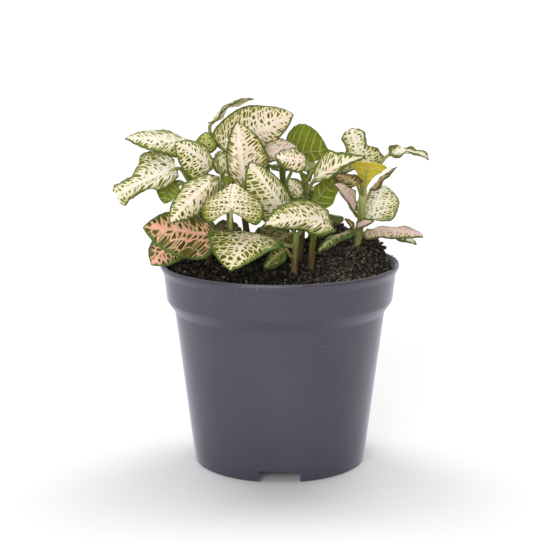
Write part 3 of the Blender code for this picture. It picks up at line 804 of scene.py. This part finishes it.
LEAVES = [Leaf(f"leaf_{stem}_{count}", "stem_" + stem, *row)
          for stem, rows in LEAF_ROWS.items() for count, row in enumerate(rows, 1)]

OUTLINES = {
    # share of the length, half width left and right in millimetres
    "leaf_far_left_2": ((0, 1, 4), (0.05, 5, 13), (0.2, 7, 15), (0.38, 6.6, 13.5),
                        (0.52, 4.8, 8.4), (0.68, 4, 4.8), (0.84, 4.8, 4.6), (0.95, 6.4, 5.4), (1, 4.6, 3)),
    "leaf_centre_3": ((0, 1, 1), (0.1, 6, 3.2), (0.28, 9.6, 4.2), (0.45, 8.8, 3.4), (0.62, 5.4, 2),
                      (0.78, 3.4, 1.4), (0.92, 1.8, 0.9), (1, 0.3, 0.3)),
    "leaf_right_9": ((0, 1.2, 1.2), (0.08, 8.5, 9), (0.2, 10, 11.5), (0.34, 8, 9.5),
                     (0.5, 4.6, 5), (0.64, 4.8, 5.4), (0.8, 5.4, 5.8), (0.93, 3.8, 3.8), (1, 0.3, 0.3)),
    "leaf_right_8": ((0, 1, 1), (0.25, 2, 2.2), (0.5, 3.8, 4), (0.75, 6.4, 6.8),
                     (0.92, 8.2, 8.6), (1, 7, 7.4)),
    "leaf_right_10": ((0, 0.8, 0.8), (0.14, 2.4, 2), (0.26, 4.2, 3.4), (0.42, 2, 1.7), (0.6, 1.4, 1.4),
                      (0.8, 2.5, 2.3), (0.92, 2.1, 2.1), (1, 0.3, 0.3)),
}
print(len(LEAVES), "leaves on", len(STEMS), "stems")

# %% [markdown]
# The blade starts as a flat grid. One function bends each point of it into place: the midrib
# gives a line to follow, the halves fold down from it, and the outline narrows to base and tip.
# Between the side veins the blade swells into soft quilting, the midrib lies in a groove, and
# the margin ruffles. These are real shapes, so they catch the light from any side.

# %% Leaves: bend a flat grid into a blade
SLOPE = 0.34
MAP_GAP = 24.0
BLADE_COLUMNS = 36
BLADE_ROWS = 54
BLADE_THICKNESS = 0.42
STALK_HALF_WIDTH = 0.9
STALK_GAP = 0.6


def direction(azimuth, elevation):
    """A unit vector from an azimuth, 0 to the front and 90 to the right, and an elevation."""
    turn, rise = math.radians(azimuth), math.radians(elevation)
    return Vector((math.sin(turn) * math.cos(rise), -math.cos(turn) * math.cos(rise), math.sin(rise)))


def soft(value, low, high):
    """A smooth step from 0 to 1."""
    t = min(1.0, max(0.0, (value - low) / (high - low)))
    return t * t * (3.0 - 2.0 * t)


def blade_width(v):
    """Share of the full half width at a share v of the blade's length."""
    return max(0.03, max(0.0, v) ** 0.45 * max(0.0, 1.0 - v) ** 0.75 / 0.452)


class LeafShape:
    """Turns a place on a flat leaf into a place in space."""

    def __init__(self, leaf):
        self.leaf = leaf
        self.base, self.tip = Vector(leaf.base), Vector(leaf.tip)
        self.length = (self.tip - self.base).length
        along = (self.tip - self.base).normalized()
        up = direction(*leaf.faces)
        self.up = (up - along * up.dot(along)).normalized()
        self.seed = 13.7 * sum(leaf.base) % 97.0
        breadth = (self.length + sum(leaf.halves)) / 2.0
        self.laterals = min(8, max(4, round(breadth / 3.6)))
        point, stem_along, radius = stem_at(leaf.stem, leaf.node)
        out = self.base - point
        out = (out - stem_along * out.dot(stem_along)).normalized()
        root = point + out * (radius + STALK_GAP)
        reach = (self.base - root).length
        _, along, _ = self.frame(0.0)
        self.stalk = (root, root + out * reach * 0.35, self.base - along * reach * 0.35, self.base)
        self.heel = point + out * radius * 0.35

    def midrib(self, v):
        return self.base.lerp(self.tip, v) + self.up * self.length * self.leaf.arch * 4.0 * v * (1.0 - v)

    def frame(self, v):
        """The midrib's point, direction and upper normal at v."""
        low, high = max(0.0, v - 0.01), min(1.0, v + 0.01)
        along = (self.midrib(high) - self.midrib(low)).normalized()
        return self.midrib(v), along, (self.up - along * self.up.dot(along)).normalized()

    def lateral(self, u, v):
        """Which side vein a place is level with, whole numbers lying on the veins."""
        lean = SLOPE * abs(u) ** 1.15
        return (v - lean) / (1.0 - lean) * self.laterals

    def half_width(self, side, v):
        rows = OUTLINES.get(self.leaf.name)
        if rows:
            low, high = next((a, b) for a, b in zip(rows, rows[1:]) if v <= b[0])
            share = soft(v, low[0], high[0])
            return low[side + 1] + (high[side + 1] - low[side + 1]) * share
        return max(STALK_HALF_WIDTH * (1.0 - v), self.leaf.halves[side] * blade_width(v))

    def blade(self, u, v, frame):
        """u runs from -1 at the left margin to 1 at the right, v from the base to the tip."""
        place, along, normal = frame
        leaf, side, reach = self.leaf, 0 if u < 0.0 else 1, abs(u)
        across = along.cross(normal) * (1.0 if side else -1.0)
        vein = self.lateral(u, v)
        half = self.half_width(side, v)
        scallop = 0.008 * math.cos(math.tau * vein)
        scallop += 0.11 * noise.noise(Vector((v * 3.4, self.seed, side * 7.0)))
        half *= reach * (1.0 + reach**3 * scallop)
        fold = math.radians(leaf.folds[side]) * (0.5 + 0.5 * reach) * soft(reach, -0.05, 0.18)
        if side == 0 and leaf.open_base:
            fold *= min(1.0, max(0.0, (v - leaf.open_base) / 0.15))
        back = leaf.lobe * self.length * reach**1.5 * (v / 0.12) * math.exp(1.0 - v / 0.12)
        ruffle = leaf.wave * reach**3 * math.sin(v * 15.0 + side * 2.0) * (1.0 - v) * 1.4
        size = min(1.0, self.length / 26.0)
        inside = soft(reach, 0.04, 0.25) * (1.0 - soft(reach, 0.82, 1.0))
        quilt = 0.42 * size * inside * (0.5 - 0.5 * math.cos(math.tau * vein))
        groove = -0.22 * size * math.exp(-((half / 0.8) ** 2)) * soft(v, 0.0, 0.1)
        crisp = 0.12 * size * reach**4 * math.sin(math.tau * vein + 1.3 * side)
        spot = Vector((u * 1.6 + self.seed, v * 3.2, side * 5.0 + self.seed))
        sway = 0.9 * size * reach**1.5 * noise.noise(spot)
        rise = half * math.sin(fold) + (ruffle + quilt + groove + crisp + sway)
        return place + across * half * math.cos(fold) + normal * rise - along * back

    def stalk_line(self):
        """The stalk's middle line, from inside the stem to the blade, then under the midrib."""
        a, b, c, d = self.stalk
        points = [self.heel]
        for step in range(11):
            t = step / 10.0
            s = 1.0 - t
            points.append(a * s**3 + b * 3.0 * s**2 * t + c * 3.0 * s * t**2 + d * t**3)
        radii = [0.95] + [0.92 - 0.14 * step / 10.0 for step in range(11)]
        for step in range(1, 15):
            v = 0.93 * step / 14.0
            place, _, normal = self.frame(v)
            sunk = 0.5 * soft(v, 0.0, 0.12)
            points.append(place - normal * (BLADE_THICKNESS * 0.8 + sunk))
            radii.append(0.78 * (1.0 - v) ** 0.8 * (1.0 - 0.35 * soft(v, 0.0, 0.2)) + 0.1)
        size = min(1.0, 0.55 + self.length / 50.0)
        return points, [radius * size for radius in radii]


def make_leaf(leaf, number, materials, columns=BLADE_COLUMNS, rows=BLADE_ROWS):
    """Upper face, underside and stalk, as one piece with three finishes.

    The number shifts the leaf to its own part of the vein pattern.
    """
    shape = LeafShape(leaf)
    bm = bmesh.new()
    along_layer = bm.verts.layers.float.new("along")
    margin_layer = bm.verts.layers.float.new("margin")
    blade_map = bm.loops.layers.uv.new("blade")
    vein_map = bm.loops.layers.uv.new("venation")
    flat = bmesh.ops.create_grid(bm, x_segments=columns, y_segments=rows, size=1.0)["verts"]
    spots = {}
    for vert in flat:
        row = round((vert.co.y + 1.0) / 2.0 * rows)
        spots[vert] = (vert.co.x, 0.5 - 0.5 * math.cos(math.pi * row / rows), row)
    faces = list({face for vert in flat for face in vert.link_faces})
    for face in faces:
        side = 0 if sum(spots[vert][0] for vert in face.verts) < 0.0 else 1
        offset = MAP_GAP * (number * 2 + side)
        for loop in face.loops:
            u, v, _ = spots[loop.vert]
            away = abs(u) * shape.half_width(side, v) / shape.length * shape.laterals
            loop[blade_map].uv = (0.5 + 0.5 * u, v)
            loop[vein_map].uv = (away, shape.lateral(u, v) + offset)
    frames = [shape.frame(0.5 - 0.5 * math.cos(math.pi * row / rows)) for row in range(rows + 1)]
    for vert, (u, v, row) in spots.items():
        side = 0 if u < 0.0 else 1
        vert[margin_layer] = (1.0 - abs(u)) * shape.half_width(side, v)
        vert.co = shape.blade(u, v, frames[row])
    bm.normal_update()
    sunk = {vert: vert.co - vert.normal * BLADE_THICKNESS for vert in flat}
    bmesh.ops.extrude_face_region(bm, geom=faces, use_keep_orig=True)
    for vert, spot in sunk.items():
        vert.co = spot
    bmesh.ops.reverse_faces(bm, faces=faces)
    for face in faces:
        face.material_index = 1
    tube(bm, *shape.stalk_line(), 10, 2, along_layer)
    solids = [leaf.name] if leaf.name in frame["nodes"] else []
    return add_piece(leaf.name + "_blade", bm, materials, solids, sharp=60.0)

# %% [markdown]
# The vein pattern is the whole charm of a nerve plant. It is a net: side veins leave the midrib,
# and between them finer veins close round small green islets, which are slivers near the midrib
# and grow towards the margin. Two flat maps on each blade carry it. "venation" counts side veins
# one way and distance from the midrib the other, so cells drawn on it follow the leaf. "blade"
# tells how far across and along a place is. The group puts out masks, and each look colours them.

# %% Leaves: the venation group
recipe = new_group(
    "leaf venation",
    (("Openness", FLOAT, 0.0), ("Margin width", FLOAT, 0.9)),
    (("Islet", FLOAT), ("Halo", FLOAT), ("Margin", FLOAT), ("Outline", FLOAT), ("Lateral", FLOAT),
     ("Relief", FLOAT), ("Variation", FLOAT), ("Reach", FLOAT), ("Patch", FLOAT)),
)
blade_spot = recipe.split(recipe.node("UVMap", uv_map="blade").outputs[0])
vein_spot = recipe.node("UVMap", uv_map="venation").outputs[0]
reach = recipe.math("ABSOLUTE", recipe.line(blade_spot[0], 2.0, -1.0))
stray = recipe.noise(vein_spot, 1.7, 2.0, 0.5)["Color"]
stray = recipe.vector("MULTIPLY", recipe.vector("SUBTRACT", stray, (0.5, 0.5, 0.5)), (0.5, 0.3, 0.0))
bent = recipe.vector("ADD", vein_spot, stray)
coarse = recipe.line(recipe.taken["Openness"], -0.55, 1.0)
net = recipe.vector("MULTIPLY", recipe.vector("MULTIPLY", bent, (1.5, 2.4, 0.0)), coarse)
edge = recipe.cells(net, 1.0, "DISTANCE_TO_EDGE", 0.85, "2D")["Distance"]
cell = recipe.cells(net, 1.0, "F1", 0.85, "2D")["Color"]
variation = recipe.split(cell)[0]
away, count, _ = recipe.split(bent)
across = recipe.math("SUBTRACT", recipe.math("FRACT", count), 0.5)
lateral = recipe.math("SUBTRACT", 0.5, recipe.math("ABSOLUTE", across))
near = recipe.math("MINIMUM", edge, recipe.times(lateral, 1.7))
near = recipe.math("MINIMUM", near, recipe.times(away, 0.9))
limit = recipe.node("MapRange", {"Value": reach, "From Min": 0.05, "From Max": 0.95, "To Min": 0.27,
                                 "To Max": 0.09}).outputs["Result"]
limit = recipe.math("ADD", limit, recipe.line(variation, 0.12, -0.06))
limit = recipe.math("SUBTRACT", limit, recipe.times(recipe.taken["Openness"], 0.12))
patch = recipe.noise(vein_spot, 0.8, 2.0, 0.5)["Fac"]
limit = recipe.math("ADD", limit, recipe.line(patch, 0.2, -0.1))
past = recipe.math("SUBTRACT", near, limit)
margin = recipe.node("Attribute", attribute_name="margin").outputs["Fac"]
uneven = recipe.line(recipe.noise(vein_spot, 4.0)["Fac"], 0.7, -0.35)
margin_place = recipe.math("ADD", margin, uneven)
width = recipe.taken["Margin width"]
recipe.feed(recipe.given["Islet"], recipe.ease(past, -0.02, 0.05))
recipe.feed(recipe.given["Halo"], recipe.ease(past, -0.14, 0.0))
recipe.feed(recipe.given["Margin"], recipe.ease(margin_place, recipe.times(width, 0.65),
                                                recipe.times(width, 1.25), 1.0, 0.0))
recipe.feed(recipe.given["Outline"], recipe.ease(margin, 0.1, 0.38, 1.0, 0.0))
recipe.feed(recipe.given["Lateral"], recipe.ease(lateral, 0.02, 0.11, 1.0, 0.0))
recipe.feed(recipe.given["Relief"], recipe.ease(near, 0.0, 0.3))
recipe.feed(recipe.given["Variation"], variation)
recipe.feed(recipe.given["Reach"], reach)
recipe.feed(recipe.given["Patch"], recipe.ease(patch, 0.35, 0.65))
VENATION = recipe.tree

# %% [markdown]
# A look gives the masks their colours: cream or pink veins, an olive islet with a yellow-green
# halo, and a green margin with a thin dark outline. Older leaves in the shade blush salmon, and
# the youngest are still yellow-green. The islets stand a little above the sunken veins.

# %% Leaves: the looks of the upper face
UPPER_LOOKS = {
    # vein, blush, halo, islet, deep islet, margin, openness, margin width
    "cream": ((252, 244, 222), (246, 222, 206), (196, 196, 84),
              (112, 106, 24), (74, 70, 12), (78, 104, 26), 0.15, 1.15),
    "blush": ((252, 240, 222), (245, 216, 204), (200, 192, 96),
              (112, 102, 32), (78, 70, 18), (82, 98, 30), 0.0, 1.0),
    "pale": ((252, 248, 232), (246, 234, 222), (210, 206, 112),
             (122, 118, 36), (88, 82, 22), (94, 112, 40), 0.0, 1.0),
    "rose": ((230, 206, 196), (220, 184, 178), (190, 174, 112),
             (124, 110, 50), (92, 82, 34), (92, 98, 42), -0.5, 0.8),
    "speckled": ((252, 240, 214), (247, 220, 200), (186, 190, 70),
                 (96, 92, 16), (60, 58, 8), (72, 108, 30), 0.5, 1.4),
    "salmon": ((250, 204, 182), (240, 160, 146), (166, 156, 60),
               (80, 74, 16), (48, 42, 8), (70, 104, 30), 0.55, 1.3),
    "fresh": ((220, 218, 140), (210, 208, 124), (176, 182, 66),
              (122, 132, 26), (92, 102, 14), (84, 114, 24), 0.4, 1.0),
    "bronze": ((222, 200, 158), (222, 184, 150), (166, 142, 66),
               (104, 78, 24), (72, 52, 14), (96, 92, 32), 0.5, 1.0),
    "shaded": ((206, 200, 128), (196, 176, 124), (130, 142, 48),
               (70, 80, 18), (46, 54, 8), (66, 102, 26), 0.6, 1.1),
    "lime": ((226, 216, 110), (216, 198, 92), (188, 180, 48),
             (140, 132, 22), (104, 92, 12), (112, 120, 22), -0.2, 0.9),
    "golden": ((222, 206, 88), (212, 184, 62), (190, 174, 50),
               (158, 126, 24), (132, 98, 14), (120, 104, 30), 0.3, 0.8),
    # A darker copy of the leaf colours for the low leaves inside the plant: painted shade.
    "painted_shade": ((150, 138, 84), (150, 118, 84), (112, 112, 40),
              (66, 66, 18), (44, 42, 10), (58, 72, 20), 0.5, 0.9),
}


def upper_face(look):
    *colours, openness, width = UPPER_LOOKS[look]
    vein, blush, halo, islet, deep, margin = (tone(*colour) for colour in colours)
    material, recipe, shader = new_tissue(
        "leaf " + look, (0.0005, 0.0006, 0.0003), Specular_IOR_Level=0.3)
    masks = recipe.group(VENATION, {"Openness": openness, "Margin width": width})
    mottled = recipe.mottled(130.0, 2600.0)
    blushing = recipe.times(masks["Patch"], recipe.ease(masks["Reach"], 0.95, 0.1, 0.3, 0.9))
    body = recipe.paint(
        recipe.mix(blushing, vein, blush),
        (recipe.ease(masks["Reach"], 0.45, 1.0, 0.0, 0.45), halo),
        (recipe.times(masks["Halo"], 0.8), halo),
        (masks["Islet"], recipe.mix(recipe.ease(masks["Variation"], 0.1, 0.8), islet, deep)),
        (masks["Margin"], margin),
        (recipe.times(masks["Outline"], 0.75), tone(62, 62, 30)),
    )
    body = recipe.mix(recipe.times(mottled["Broad"], 0.16), body, recipe.mix(0.6, body, halo))
    body = recipe.mix(recipe.times(mottled["Fine"], 0.10), body, deep)
    recipe.feed(shader["Base Color"], body)
    rough = recipe.line(masks["Islet"], -0.08, 0.5)
    recipe.feed(shader["Roughness"], recipe.line(mottled["Fine"], 0.08, rough))
    soft_relief = recipe.bump(masks["Relief"], 0.55, 0.00022)
    recipe.feed(shader["Normal"], recipe.bump(mottled["Fine"], 0.2, 0.00006, soft_relief))
    return material


UPPER = {look: upper_face(look) for look in UPPER_LOOKS}

# %% [markdown]
# The underside is plainer and matter than the top: green on most leaves, golden or pale on a
# few, with raised side veins that are lighter. It reads the same masks, so its veins run exactly
# where those on the upper face do. Four leaves show the net below as well. A shoot finish with
# three sets of tones serves the stems and the stalks.

# %% Leaves: underside and stalk


def under_face(name, *colours):
    plain, deep, vein = (tone(*colour) for colour in colours)
    material, recipe, shader = new_tissue(name, (0.0005, 0.0007, 0.0002), Specular_IOR_Level=0.3)
    masks = recipe.group(VENATION, {"Openness": 0.4, "Margin width": 0.5})
    mottled = recipe.mottled(160.0, 2400.0)
    body = recipe.paint(
        recipe.mix(recipe.times(masks["Relief"], 0.6), plain, deep),
        (recipe.times(mottled["Broad"], 0.3), plain),
        (recipe.times(masks["Lateral"], recipe.ease(masks["Reach"], 0.6, 1.0, 0.9, 0.3)), vein),
        (recipe.times(mottled["Fine"], 0.15), deep),
    )
    recipe.feed(shader["Base Color"], body)
    recipe.feed(shader["Roughness"], recipe.line(mottled["Fine"], 0.12, 0.55))
    lift = recipe.math("SUBTRACT", masks["Lateral"], recipe.times(masks["Relief"], 0.4))
    recipe.feed(shader["Normal"], recipe.bump(lift, 0.6, 0.00025))
    return material


UNDER = {
    "green": under_face("leaf underside", (138, 150, 44), (104, 120, 22), (196, 204, 116)),
    "lime": under_face("young leaf underside", (206, 192, 66), (172, 160, 30), (222, 208, 104)),
    "golden": under_face("golden leaf underside", (202, 188, 60), (160, 138, 28), (222, 206, 98)),
    # A near-white underside for a leaf that faces down into shade: its pale pink is partly its own colour
    # and partly painted light.
    "painted_light_ivory": under_face("ivory leaf underside", (252, 236, 222), (240, 214, 200), (255, 246, 238)),
    "pale": under_face("pale leaf underside", (232, 226, 194), (204, 200, 146), (246, 238, 216)),
}


def shoot(name, *colours):
    """Green shoot skin: one tone at its foot, one half way, one at its top, and clear streaks."""
    foot, middle, top, clear = (tone(*colour) for colour in colours)
    material, recipe, shader = new_tissue(name, (0.0009, 0.0009, 0.0003), Specular_IOR_Level=0.4)
    spot = recipe.place()
    along = recipe.node("Attribute", attribute_name="along").outputs["Fac"]
    streaks = recipe.noise(recipe.vector("MULTIPLY", spot, (1500.0, 1500.0, 140.0)), 1.0, 3.0, 0.6)["Fac"]
    mottled = recipe.mottled(240.0, 3200.0)
    drift = recipe.line(mottled["Broad"], 0.16, -0.08)
    place = recipe.math("ADD", along, drift)
    body = recipe.paint(
        recipe.mix(recipe.ease(place, 0.35, 0.75), foot, middle),
        (recipe.ease(place, 0.6, 1.0), top),
        (recipe.times(recipe.ease(streaks, 0.4, 0.7), 0.55), clear),
        (recipe.times(mottled["Fine"], 0.25), foot),
    )
    recipe.feed(shader["Base Color"], body)
    recipe.feed(shader["Roughness"], recipe.line(mottled["Fine"], 0.15, 0.42))
    down = recipe.math("ADD", recipe.times(mottled["Fine"], 0.5), streaks)
    recipe.feed(shader["Normal"], recipe.bump(down, 0.45, 0.00018))
    return material


STEM_SKIN = shoot("stem skin", (84, 56, 34), (102, 102, 38), (122, 142, 52), (144, 148, 76))
# A lighter copy of the stem skin for the right stem. It is partly a younger, paler green and partly a
# painted highlight along the stem.
YOUNG_SKIN_WITH_PAINTED_HIGHLIGHT = shoot("young stem skin with painted highlight", (112, 112, 48), (134, 148, 60), (186, 184, 120), (196, 196, 140))
STALK_SKIN = shoot("stalk skin", (124, 128, 62), (146, 148, 76), (190, 184, 120), (196, 190, 132))
# leaf_back_left_3 takes the near-white underside, which is partly painted light.
UNDER_LOOKS = {"leaf_back_left_3": "painted_light_ivory", "leaf_right_10": "pale", "leaf_right_3": "pale",
               "leaf_right_8": "golden"}
NETTED_BELOW = ("leaf_front_2", "leaf_right_2", "leaf_right_6", "leaf_right_7")
leaf_pieces = []
for number, leaf in enumerate(LEAVES):
    above, below = UPPER[leaf.look], UNDER[UNDER_LOOKS.get(leaf.name, "green")]
    if leaf.name in NETTED_BELOW:
        below = above
    leaf_pieces.append(make_leaf(leaf, number, [above, below, STALK_SKIN]))
print(len(leaf_pieces), "leaves,", sum(len(p.data.polygons) for p in leaf_pieces), "faces")

# %% Stems: swell at the nodes and close the tips


def make_stem(name):
    path = stem_path(name, 14)
    last = len(path) - 1
    nodes = [leaf.node for leaf in LEAVES if leaf.stem == name]
    radii = []
    for index, place in enumerate(path):
        radius = STEMS[name][0] * (1.0 - (1.0 - STEM_TAPER) * index / last)
        swell = max([math.exp(-(((place.z - node) / 1.3) ** 2)) for node in nodes] + [0.0])
        wobble = 0.04 * noise.noise(place * 0.35)
        close = math.sqrt(max(0.02, 1.0 - max(0.0, (index - last + 2.5) / 2.6) ** 2))
        radii.append(radius * (1.0 + 0.16 * swell + wobble) * close)
    bm = bmesh.new()
    tube(bm, path, radii, 20, 0, bm.verts.layers.float.new("along"))
    skin = YOUNG_SKIN_WITH_PAINTED_HIGHLIGHT if name == "stem_right" else STEM_SKIN
    return add_piece(name + "_skin", bm, [skin], [name], sharp=80.0)


stem_pieces = [make_stem(name) for name in STEMS]
print(len(stem_pieces), "stems")

# %% [markdown]
# Most stems end in a growing tip: two leaves no longer than a fingernail, still upright and
# folded round the next pair. One stem also has two at a node. They are made by the same function
# as the big leaves, with fewer faces, and have no solid of their own.

# %% Stems: growing tips
BLUNT_STEMS = ("stem_right", "stem_back_left")
BUD_COLUMNS = 14
BUD_ROWS = 18


def make_bud(stem, count, number, node, base, tip, faces, half, fold, look, under="green"):
    """One bud leaf: both halves alike and folded upwards."""
    bud = Leaf(f"bud_{stem}_{count}", "stem_" + stem, node, tuple(base), tuple(tip), faces, (half, half),
               look, (fold, fold), 0.1, 0.2)
    return make_leaf(bud, number, [UPPER[look], UNDER[under], STALK_SKIN], BUD_COLUMNS, BUD_ROWS)


bud_pieces = []
for index, name in enumerate(STEMS):
    if name in BLUNT_STEMS:
        continue
    path = stem_path(name, 3)
    top, ahead = path[-1], (path[-1] - path[-2]).normalized()
    looks = ("lime", "lime") if index % 2 else ("cream", "green")
    for side in (0, 1):
        azimuth = 62.0 + 31.0 * index + 180.0 * side
        out = direction(azimuth, 0.0)
        base, tip = top - ahead * 0.1 + out * 1.5, top + ahead * (5.0 - side) + out * 4.0
        bud_pieces.append(make_bud(
            name[5:], side + 1, 60 + 2 * index + side, top.z - 0.6, base, tip,
            (azimuth + 180.0, 35.0), 2.3, 18.0, *looks))
for count, bud in enumerate((
    (102.6, (34.0, 1.9, 104.0), (41.2, 0.6, 106.8), (0.0, 40.0), 2.2, 20.0, "rose"),
    (101.0, (32.4, 3.4, 103.0), (28.6, 1.8, 107.6), (30.0, 30.0), 1.5, 30.0, "bronze"),
), 1):
    bud_pieces.append(make_bud("right", count, 90 + len(bud_pieces), *bud))
print(len(bud_pieces), "bud leaves")

# %% [markdown]
# The plant stands on a white sweep in soft, even light. A white sky lies all round, which the
# camera sees brighter than it shines. Four broad suns model the leaves: one from above, two from
# behind at the sides, and the strongest low in front, which lights the pot and under the leaves.

# %% Floor and light
FLOOR_SIZE = 30.0
FLOOR_SINK = 0.0002
floor_bm = bmesh.new()
bmesh.ops.create_grid(floor_bm, x_segments=8, y_segments=8, size=FLOOR_SIZE)
bmesh.ops.translate(floor_bm, verts=floor_bm.verts, vec=(0.0, 0.0, -FLOOR_SINK))
floor_paint, recipe, shader = new_material("studio floor", Roughness=0.9, Specular_IOR_Level=0.1)
drift = recipe.noise(recipe.place(), 2.0)["Fac"]
floor_tone = recipe.mix(drift, (0.94, 0.94, 0.94, 1.0), (0.96, 0.96, 0.96, 1.0))
recipe.feed(shader["Base Color"], floor_tone)
floor = stand_mesh("studio_floor", floor_bm, [floor_paint])

world = bpy.data.worlds.new("white_studio")
world.use_nodes = True
sky = world.node_tree.nodes["Background"]
sky.inputs["Color"].default_value = (1.0, 1.0, 1.0, 1.0)
SKY_LIGHT = 0.45
recipe = Recipe(world.node_tree)
seen = recipe.node("LightPath").outputs["Is Camera Ray"]
recipe.feed(sky.inputs["Strength"], recipe.line(seen, 1.0 - SKY_LIGHT, SKY_LIGHT))
bpy.context.scene.world = world
bpy.context.scene.view_settings.view_transform = "Standard"
for name, strength, azimuth, elevation, spread in (
    # name, strength, azimuth, elevation, spread
    ("top_sun", 0.6, 172.0, 72.0, 30.0),
    ("left_sun", 0.75, -142.0, 54.0, 32.0),
    ("right_sun", 0.7, 142.0, 54.0, 32.0),
    ("front_sun", 1.85, -14.0, 14.0, 44.0),
):
    sun = stand(name, bpy.data.lights.new(name, "SUN"))
    sun.data.energy = strength
    sun.data.angle = math.radians(spread)
    sun.rotation_euler = direction(azimuth, elevation).to_track_quat("Z", "Y").to_euler()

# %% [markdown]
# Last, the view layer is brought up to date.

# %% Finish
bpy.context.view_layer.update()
